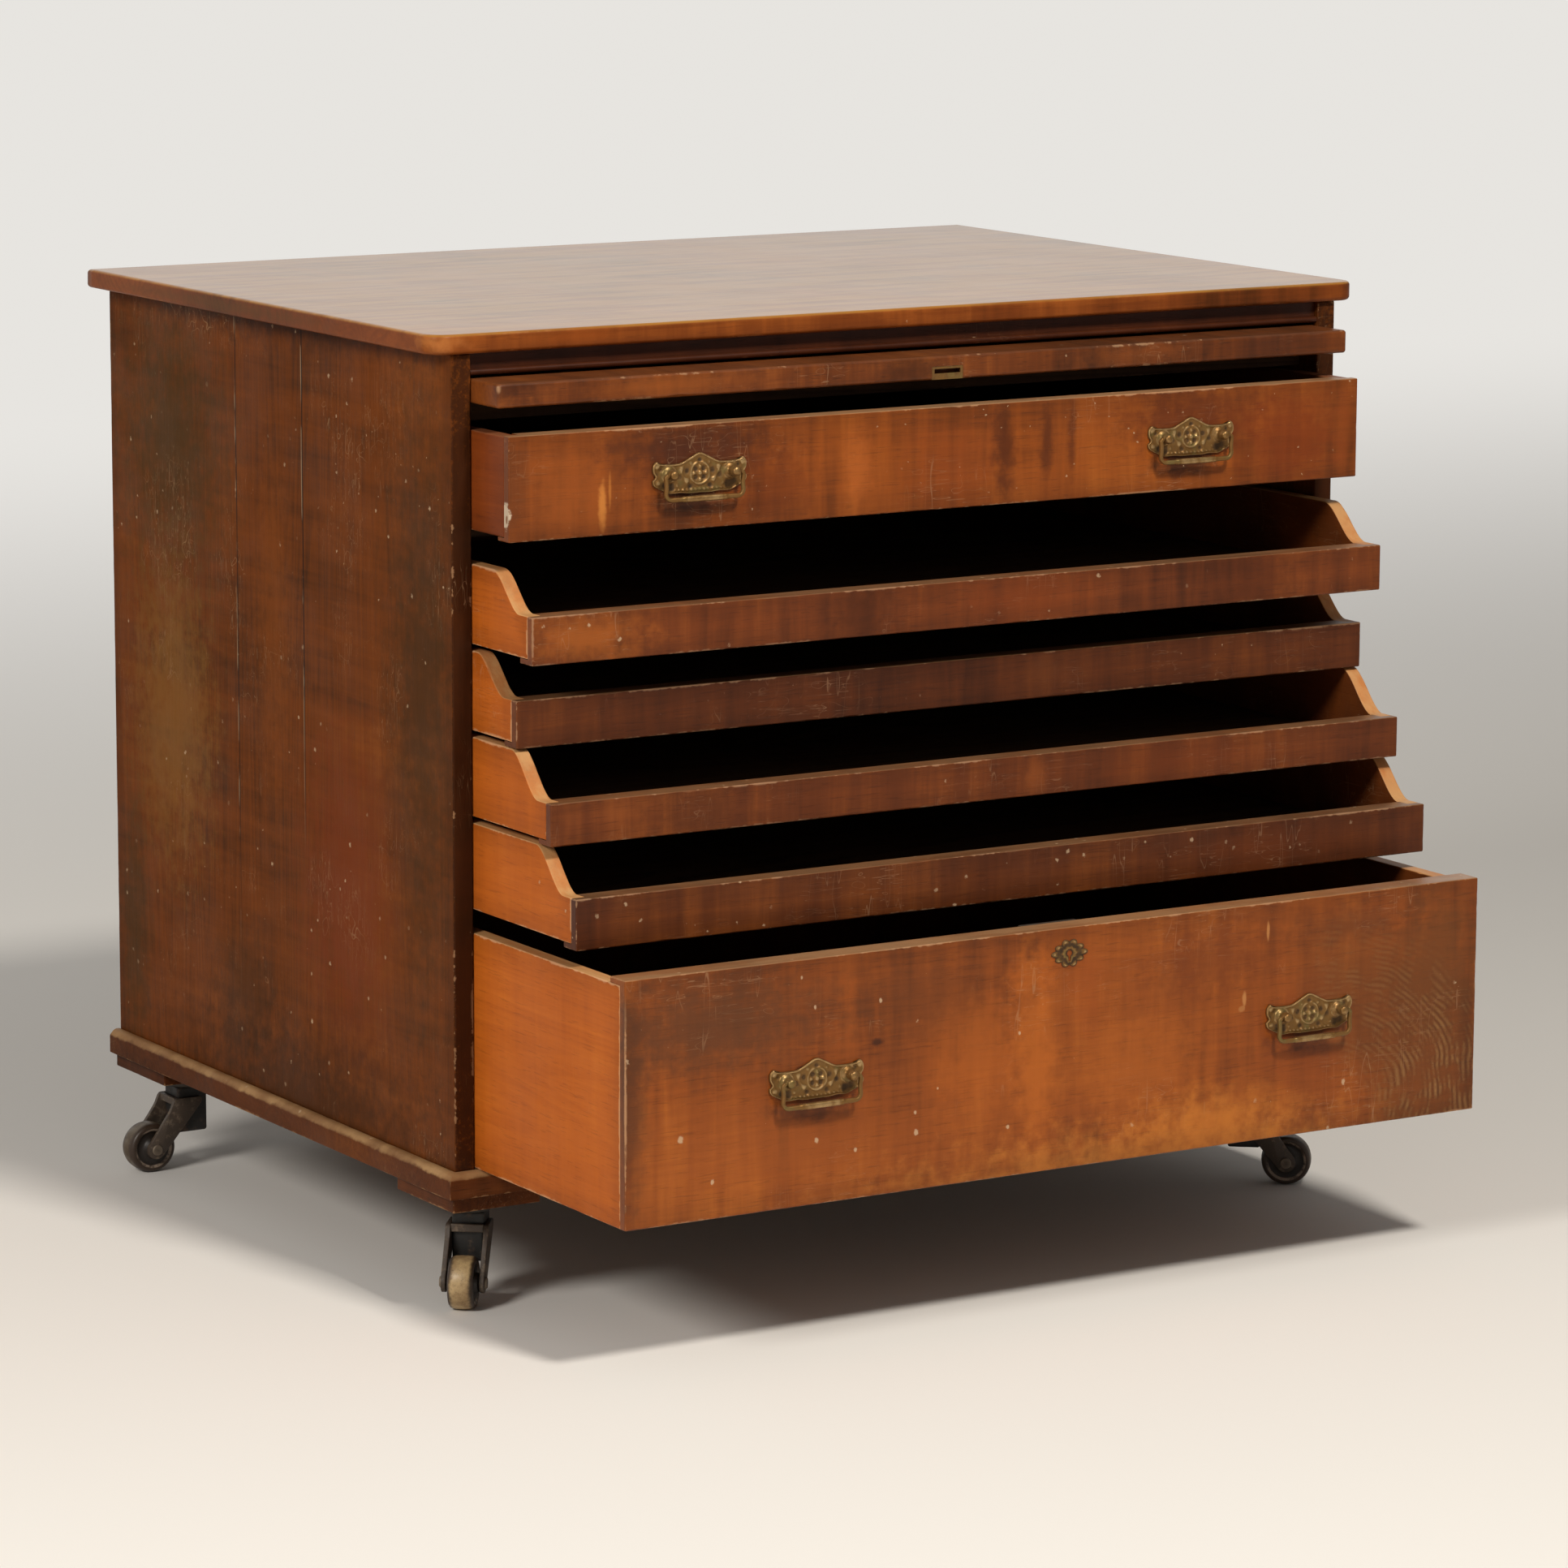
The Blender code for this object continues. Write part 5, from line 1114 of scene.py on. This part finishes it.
def bail_rings(centre, level, out, post, half, drop):
    """A drop bail: one bar carried along a path in an upright plane. It runs out of each post sideways, turns
    down, and turns in again along the bottom. The bar's section is a softened square, thin at the ends, with
    a ring on each side of a thick grip in the middle."""
    turn = np.linspace(0, math.pi / 2, 7)
    corner, foot = 0.0032, 0.0060
    right = [(post, 0.0), (post + 0.0008, 0.0)]
    right += [(half - corner + corner * math.sin(a), -corner + corner * math.cos(a)) for a in turn]
    right += [
        (half - 0.0006 * math.sin(s * math.pi), -corner - s * (drop - corner - foot))
        for s in np.linspace(0.1, 0.9, 9)
    ]
    right += [(half - foot + foot * math.cos(a), -drop + foot - foot * math.sin(a)) for a in turn]
    right += [(x, -drop) for x in np.linspace(half - foot, 0, 28)[1:-1]]
    right = np.array(right)
    path = np.concatenate([right, [[0.0, -drop]], right[::-1] * (-1, 1)])
    length = np.concatenate([[0], np.cumsum(np.linalg.norm(np.diff(path, axis=0), axis=1))])
    length /= length[-1]
    middle = np.abs(length - 0.5)
    radius = 0.0019 + 0.0011 * np.clip((0.155 - middle) / 0.02, 0, 1)
    radius += 0.0003 * np.clip((0.30 - middle) / 0.05, 0, 1)
    radius += 0.0008 * np.exp(-(((middle - 0.165) / 0.010) ** 2)) - 0.0003 * np.exp(-((middle / 0.05) ** 2))
    radius = np.minimum(radius, 0.0028)
    along = np.gradient(path, axis=0)
    along /= np.linalg.norm(along, axis=1, keepdims=True)
    across = np.stack([along[:, 1], -along[:, 0]], -1)
    angles = np.linspace(0, math.tau, 16, endpoint=False)
    soft = (np.cos(angles) ** 4 + np.sin(angles) ** 4) ** -0.25
    side = soft * np.cos(angles) * radius[:, None]
    depth = soft * np.sin(angles) * radius[:, None]
    x = path[:, :1] + across[:, :1] * side
    z = path[:, 1:] + across[:, 1:] * side
    return np.stack([x + centre, out + depth, z + level], -1)


plate_thickness, relief_depth = 0.0026, 0.0021
plate_foot = 0.0155
post_spacing, post_rise = 0.034, 0.004
bail_reach, bail_drop = 0.0394, 0.0235
for drawer in ("top_drawer", "bottom_drawer"):
    for side in ("left", "right"):
        handle = f"{drawer}_{side}"
        low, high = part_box(handle + "_handle_plate")
        centre = (low.x + high.x) / 2
        level = low.z + plate_foot
        back = high.y
        front = back - plate_thickness
        pivot = level + post_rise
        plate = plate_surface(plate_outline, (centre, level), back, front, relief_depth, relief)
        posts = [turned(post_profile, (centre + s * post_spacing, pivot), back - 0.0004) for s in (-1, 1)]
        points, faces = merged(flipped(plate), *posts)
        stands_out = np.clip((back - points[:, 1]) / plate_thickness, 0, 1)
        stands_out[len(plate[0]):] = 0.72
        make_piece(
            handle + "_backplate", points, faces, drawer, brass, [handle + "_handle_plate"],
            fields={"stands_out": stands_out},
        )
        low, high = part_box(handle + "_bail")
        half = high.x - 0.0022 - centre
        rings = bail_rings(centre, pivot, (low.y + high.y) / 2, bail_reach, half, bail_drop)
        points, faces = tube_faces(rings)
        # The middle of the bar is paler: partly rubbed by hands, partly a painted highlight.
        grip_rub_and_highlight = np.clip((pivot - points[:, 2]) / bail_drop, 0, 1)
        grip_rub_and_highlight *= np.clip((0.030 - np.abs(points[:, 0] - centre)) / 0.014, 0, 1)
        make_piece(
            handle + "_drop", points, faces, handle + "_bail", brass, [handle + "_bail"],
            fields={"stands_out": 0.52 + 0.30 * grip_rub_and_highlight},
        )

# The keyhole escutcheon and the locks.
# A small lobed brass plate is pinned round the keyhole of the deep drawer, with the iron lock behind it. A
# slotted brass plate lets the bolt of the top lock into the flap's edge.


def pierced_plate(outer, inner, centre, back, front, swell):
    """A plate with a hole: at each of many angles it runs from the hole's edge to the outline. The front
    stands out by the swell, given at seventeen shares of the way, and the back is flat, so that the surface
    closes on itself like a ring."""
    across = np.linspace(0, 1, 17)
    section = [(s, front - part) for s, part in zip(across, swell)] + [(s, back) for s in across[::-1]]
    rings = []
    for share, y in section:
        place = inner + (outer - inner) * share
        place = place + centre
        rings.append(np.stack([place[:, 0], np.broadcast_to(y, len(place)), place[:, 1]], -1))
    rings = np.array(rings)
    count, stations = rings.shape[1], rings.shape[0]
    s, k = np.meshgrid(np.arange(stations), np.arange(count), indexing="ij")
    t, m = (s + 1) % stations, (k + 1) % count
    quads = np.stack([s * count + k, t * count + k, t * count + m, s * count + m], -1)
    return rings.reshape(-1, 3), [quads.reshape(-1, 4)]


angles = np.linspace(0, math.tau, 144, endpoint=False)
low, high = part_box("bottom_drawer_escutcheon")
centre = (0.0, (low.z + high.z) / 2)
scallop = np.abs(np.cos(5 * angles))
reach = 1 - 0.10 * (1 - np.cos(4 * angles)) / 2 - 0.20 * (1 - scallop)
lobes = np.stack([0.021 * reach * np.cos(angles), 0.014 * reach * np.sin(angles)], -1)
across = np.linspace(0, 1, 17)[:, None]
beads = np.exp(-(((across - 0.80) / 0.12) ** 2)) * scallop**2 + 0.7 * np.exp(-(((across - 0.22) / 0.10) ** 2))
beads = np.clip(beads, 0, 1) * np.clip((1 - across) / 0.06, 0, 1)
slot_end, slot_side = 0.0075, 0.0012
slot = slot_end / np.maximum(np.abs(np.sin(angles)), 0.5)
slot = np.minimum(slot, slot_side / np.maximum(np.abs(np.cos(angles)), 0.16))
slot_reach = np.where(np.sin(angles) < -0.92, slot, 0.0030)
keyhole = np.stack([slot_reach * np.cos(angles), slot_reach * np.sin(angles)], -1)
points, faces = pierced_plate(lobes, keyhole, centre, high.y, high.y - 0.0004, 0.0010 * beads)
stands_out = np.clip((high.y - points[:, 1] - 0.0004) / 0.0010, 0, 1) * 0.95 + 0.12
make_piece(
    "keyhole_plate", points, faces, "bottom_drawer", brass, ["bottom_drawer_escutcheon"],
    fields={"stands_out": stands_out},
)
low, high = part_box("flap_lock")
square = np.maximum(np.abs(np.cos(angles)), np.abs(np.sin(angles)))
frame_shape = np.stack([np.cos(angles) / square, np.sin(angles) / square], -1)
outer = frame_shape * ((high.x - low.x) / 2 - 0.0002, (high.z - low.z) / 2 - 0.0002)
inner = frame_shape * (0.0150, 0.0022)
inner[:, 1] += 0.0018
centre = ((low.x + high.x) / 2, (low.z + high.z) / 2)
points, faces = pierced_plate(outer, inner, centre, low.y + 0.0017, low.y + 0.0002, [0.0] * 17)
make_piece(
    "flap_lock_plate", points, faces, "flap", dull_brass, ["flap_lock"], sharp=40,
    fields={"stands_out": np.full(len(points), 0.72)},
)


def iron_material(name, colour, wear, rough):
    """Old blackened iron: near black paint, with brown rust and rubbed grey metal where the surface is
    raised."""
    material, shader, here = new_finish(name)
    raised = between(wire("ShaderNodeNewGeometry", {}, here.id_data).outputs["Pointiness"], 0.50, 0.60)
    cloudy = clouds(here, 120.0, 5.0, 0.65)
    rubbed = times(plus(raised, between(cloudy, 0.5, 0.75)), wear, clamp=True)
    rusty = between(clouds(here, 60.0, 4.0, 0.7), 0.52, 0.72, 0.0, 0.6)
    base = blend(rusty, colour, (0.085, 0.042, 0.022))
    base = blend(rubbed, base, (0.30, 0.240, 0.175))
    feed(
        shader,
        {
            "Base Color": base, "Roughness": between(cloudy, 0.3, 0.7, rough - 0.08, rough + 0.15),
            "Metallic": times(rubbed, 0.8), "Normal": bumped(cloudy, 0.25, 0.0005),
        },
    )
    return material


black_iron = iron_material("black_iron", (0.010, 0.009, 0.008), 0.10, 0.55)
worn_iron = iron_material("worn_iron", (0.060, 0.041, 0.028), 0.7, 0.55)
for node in ("bottom_drawer_lock", "flap_pivot_rod"):
    painted(node, black_iron)

# The castors.
# Each turns on a black swivel housing under a screwed plate, with two pressed steel arms that lean out to the
# axle. The wheel is turned wood, nearly black, its tread worn back to tan and a bright ring on each side. On the
# three wheels out of the light the tan tread is narrower and darkened by painted shade.


def tread_material(name, painted_shade, flank):
    """A castor's wheel: tan on the tread, darkened by a share of painted shade on wheels out of the light, dark
    brown over the shoulders and faces, and a pale worn ring on each face. Two fields say how far a point is from
    the axle and from the wheel's middle plane."""
    material, shader, here = new_finish(name)
    reach, across = field(here, "from_axle"), field(here, "from_middle")
    dirt = clouds(here, 70.0, 5.0, 0.65)
    specks = clouds(here, 500.0, 3.0, 0.6)
    ragged = times(minus(dirt, 0.5), 0.006)
    tan = blend(between(dirt, 0.35, 0.65), (0.50, 0.35, 0.17), (0.30, 0.19, 0.085))
    tan = blend(painted_shade, tan, (0.030, 0.018, 0.011))
    shoulder = between(plus(across, ragged), flank, flank + 0.0045)
    colour = blend(shoulder, tan, (0.040, 0.022, 0.012))
    face = between(plus(reach, times(ragged, 0.5)), 0.0205, 0.0190)
    colour = blend(face, colour, (0.014, 0.009, 0.006))
    ring = between(sums("ABSOLUTE", minus(reach, 0.0197)), 0.0018, 0.0006)
    ring = times(ring, between(dirt, 0.42, 0.58, 0.10, 0.75))
    ring = times(ring, between(across, 0.006, 0.009))
    colour = blend(ring, colour, (0.42, 0.32, 0.24))
    colour = blend(between(specks, 0.55, 0.75, 0.0, 0.6), colour, (0.04, 0.028, 0.018))
    rough = between(dirt, 0.3, 0.7, 0.35, 0.6)
    feed(shader, {"Base Color": colour, "Roughness": rough, "Normal": bumped(dirt, 0.3, 0.0006)})
    return material


# The front left wheel is the lit copy; the other three take painted shade and a narrower tan tread.
lit_tread = tread_material("worn_castor_wood", 0.0, 0.0068)
shaded_tread = tread_material("shaded_castor_wood", 0.85, 0.0040)
castors = {"front_left": -128.0, "front_right": -38.0, "rear_left": 180.0, "rear_right": -150.0}
trail, axle_height = 0.044, 0.026
crown_foot, crown_top = 0.070, 0.078


def both_ways(half):
    """A profile of (radius, distance from the middle), followed by its mirror image."""
    return half + [(radius, -out) for radius, out in half[::-1]]


half_wheel = [
    (0.0043, -0.0152), (0.0085, -0.0152), (0.0098, -0.0144), (0.0104, -0.0118), (0.0130, -0.0106),
    (0.0185, -0.0106), (0.0208, -0.0124), (0.0228, -0.0125), (0.0246, -0.0112), (0.0256, -0.0080),
    (0.0260, -0.0030),
]
half_axle = [(0.0002, 0.0232), (0.0050, 0.0232), (0.0058, 0.0222), (0.0058, 0.0213), (0.0039, 0.0212)]
stem_profile = [
    (0.0160, 0.0880), (0.0202, 0.0888), (0.0210, 0.0900), (0.0210, 0.0946), (0.0200, 0.0958), (0.0102, 0.0958),
    (0.0100, 0.0962), (0.0100, 0.1008),
]


def placed(points, pivot, heading):
    """Turns points from a castor's own frame, where +X leads to the wheel, to its heading, and stands them at
    the foot of its pivot."""
    c, s = math.cos(heading), math.sin(heading)
    x, y, z = points.T
    return np.stack([pivot[0] + x * c - y * s, pivot[1] + x * s + y * c, z], -1)


def wheel_surface(profile, count=64):
    """A wheel: its closed section, given as (radius, distance along the axle), carried round the axle."""
    angles = np.linspace(0, math.tau, count, endpoint=False)
    profile = np.array(profile)
    x = trail + profile[None, :, 0] * np.cos(angles)[:, None]
    z = axle_height + profile[None, :, 0] * np.sin(angles)[:, None]
    y = np.broadcast_to(profile[None, :, 1], x.shape)
    rings = np.stack([x, y, z], -1)
    s, k = np.meshgrid(np.arange(count), np.arange(len(profile)), indexing="ij")
    t, m = (s + 1) % count, (k + 1) % len(profile)
    near, far = s * len(profile), t * len(profile)
    quads = np.stack([near + k, near + m, far + m, far + k], -1)
    return rings.reshape(-1, 3), [quads.reshape(-1, 4)]


def pressed_arm(side):
    """One arm of the fork: an upright outline round the axle and up to the crown, carried across its
    thickness with its edges drawn in a little at both faces."""
    turn = np.linspace(-math.pi * 0.78, math.pi * 0.25, 16)
    foot = [(trail + 0.0100 * math.cos(a), axle_height + 0.0100 * math.sin(a)) for a in turn]
    outline = [(-0.0085, crown_top), (-0.0085, crown_foot + 0.002), *foot]
    outline += [(trail * 0.62, crown_foot - 0.004), (trail / 2, crown_top)]
    outline = soft_corners(outline, 0.0025, 3)
    middle = outline.mean(0)
    rings = []
    section = (
        (0.0163, 0.0006), (0.0167, 0.0001), (0.0172, 0.0), (0.0202, 0.0), (0.0207, 0.0001), (0.0210, 0.0007),
    )
    for y, draw in section:
        away = outline - middle
        ring = outline - away / np.linalg.norm(away, axis=1, keepdims=True) * draw
        rings.append(np.stack([ring[:, 0], np.full(len(ring), side * y), ring[:, 1]], -1))
    surface = tube_faces(np.array(rings))
    return surface if side > 0 else flipped(surface)


wheel_points, wheel_faces = wheel_surface(both_ways(half_wheel))
wheel_fields = {
    "from_axle": np.hypot(wheel_points[:, 0] - trail, wheel_points[:, 2] - axle_height),
    "from_middle": np.abs(wheel_points[:, 1]),
}
axle = flipped(turned(both_ways(half_axle), (trail, axle_height), 0))
crown = board_surface((0.0175, -0.0162, crown_foot), (0.0222, 0.0162, crown_top), 0.0012, 0.006)
fork_points, fork_faces = merged(pressed_arm(-1), pressed_arm(1), axle, crown)
box = board_surface((-0.0170, -0.0158, 0.0400), (0.0170, 0.0158, 0.0890), 0.0028, 0.004)
stem_points, stem_faces = turned([(radius, -up) for radius, up in stem_profile], (0, 0), 0)
housing_points, housing_faces = merged(box, (stem_points[:, [0, 2, 1]], stem_faces))
for corner, degrees in castors.items():
    heading = math.radians(degrees)
    plate_low, plate_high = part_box(corner + "_castor_plate")
    pivot = ((plate_low.x + plate_high.x) / 2, (plate_low.y + plate_high.y) / 2)
    make_piece(
        corner + "_roller", placed(wheel_points, pivot, heading), wheel_faces, corner + "_wheel",
        lit_tread if corner == "front_left" else shaded_tread, [corner + "_wheel"],
        fields=wheel_fields,
    )
    make_piece(
        corner + "_fork_arms", placed(fork_points, pivot, heading), fork_faces, corner + "_fork", worn_iron,
        (), sharp=45,
    )
    make_piece(
        corner + "_housing", placed(housing_points, pivot, heading), housing_faces, corner + "_fork",
        black_iron, [corner + "_fork"], sharp=45,
    )
    painted(corner + "_castor_plate", black_iron)

# The floor, the light and the camera.
# A pale studio sweep stands behind the cabinet. One broad lamp hangs high in front of it and another to the
# left, and the camera stands where the photograph was taken from, at eye level.


def stage_material(name, colour):
    """Plain matt paint. Far behind the cabinet it gives its own colour to the camera and to mirrors, so that
    the wall stays as pale as the floor, however little light reaches it."""
    material, shader, here = new_finish(name)
    tree = here.id_data
    feed(shader, {"Base Color": colour, "Roughness": 0.9, "Specular IOR Level": 0.1})
    seen = wire("ShaderNodeLightPath", {}, tree).outputs
    shown = sums("MAXIMUM", seen["Is Camera Ray"], seen["Is Glossy Ray"])
    share = times(between(axes(here)[1], 0.6, 6.5), shown)
    glow = wire("ShaderNodeEmission", {"Color": (0.80, 0.78, 0.745), "Strength": 1.0}, tree).outputs[0]
    mixed = wire("ShaderNodeMixShader", {0: share, 1: shader.outputs[0], 2: glow}).outputs[0]
    feed(tree.nodes["Material Output"], {"Surface": mixed})
    return material


def sweep_surface(width, front, back, height, radius, count=16):
    """The studio sweep: a line across the floor carried back, up a quarter circle and up a wall."""
    turn = np.linspace(0, math.pi / 2, count)
    y = np.concatenate([[front], back - radius + radius * np.sin(turn), [back]])
    z = np.concatenate([[0.0], radius - radius * np.cos(turn), [height]])
    x = np.linspace(-width / 2, width / 2, 3)
    points = np.stack([np.tile(x, len(y)), np.repeat(y, 3), np.repeat(z, 3)], -1)
    s, k = np.meshgrid(np.arange(len(y) - 1), np.arange(2), indexing="ij")
    quads = np.stack([s * 3 + k, s * 3 + k + 1, (s + 1) * 3 + k + 1, (s + 1) * 3 + k], -1)
    return points, quads.reshape(-1, 4)


points, quads = sweep_surface(30.0, -14.0, 9.0, 9.0, 2.5)
mesh = bpy.data.meshes.new("studio_sweep")
mesh.from_pydata(points.tolist(), [], quads.tolist())
mesh.shade_smooth()
mesh.materials.append(stage_material("pale_paint", (0.83, 0.81, 0.78)))
sweep = bpy.data.objects.new("studio_sweep", mesh)
bpy.context.scene.collection.objects.link(sweep)
sweep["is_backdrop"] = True

world = bpy.data.worlds.new("studio")
world.use_nodes = True
feed(world.node_tree.nodes["Background"], {0: (1.0, 0.97, 0.93), 1: 0.22})
bpy.context.scene.world = world

for name, place, size, power, tint in (
    ("key_lamp", (0.1, -3.3, 4.3), 0.65, 168.0, (1.0, 0.94, 0.85)),
    ("left_lamp", (-4.6, -1.9, 3.2), 1.6, 150.0, (1.0, 0.95, 0.88)),
):
    lamp = bpy.data.lights.new(name, "AREA")
    lamp.shape = "DISK"
    lamp.size = size
    lamp.energy = power
    lamp.color = tint
    holder = bpy.data.objects.new(name, lamp)
    bpy.context.scene.collection.objects.link(holder)
    holder.location = place
    holder.rotation_euler = (Vector((0, 0, 0.45)) - Vector(place)).to_track_quat("-Z", "Y").to_euler()

yaw, pitch, roll = 0.5493, 0.1779, 0.0038
forward = Vector((math.sin(yaw) * math.cos(pitch), math.cos(yaw) * math.cos(pitch), -math.sin(pitch)))
right = Vector((math.cos(yaw), -math.sin(yaw), 0))
up = right.cross(forward)
rolled_right = math.cos(roll) * right + math.sin(roll) * up
rolled_up = -math.sin(roll) * right + math.cos(roll) * up
camera_data = bpy.data.cameras.new("camera")
camera_data.lens = 143.19
camera_data.sensor_width = 36.0
camera = bpy.data.objects.new("camera", camera_data)
bpy.context.scene.collection.objects.link(camera)
turned_view = Matrix((rolled_right, rolled_up, -forward)).transposed()
camera.matrix_world = Matrix.Translation((-3.2682, front_plane - 5.1037, 1.5628)) @ turned_view.to_4x4()
bpy.context.scene.camera = camera
bpy.context.scene.view_settings.view_transform = "Standard"

low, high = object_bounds()
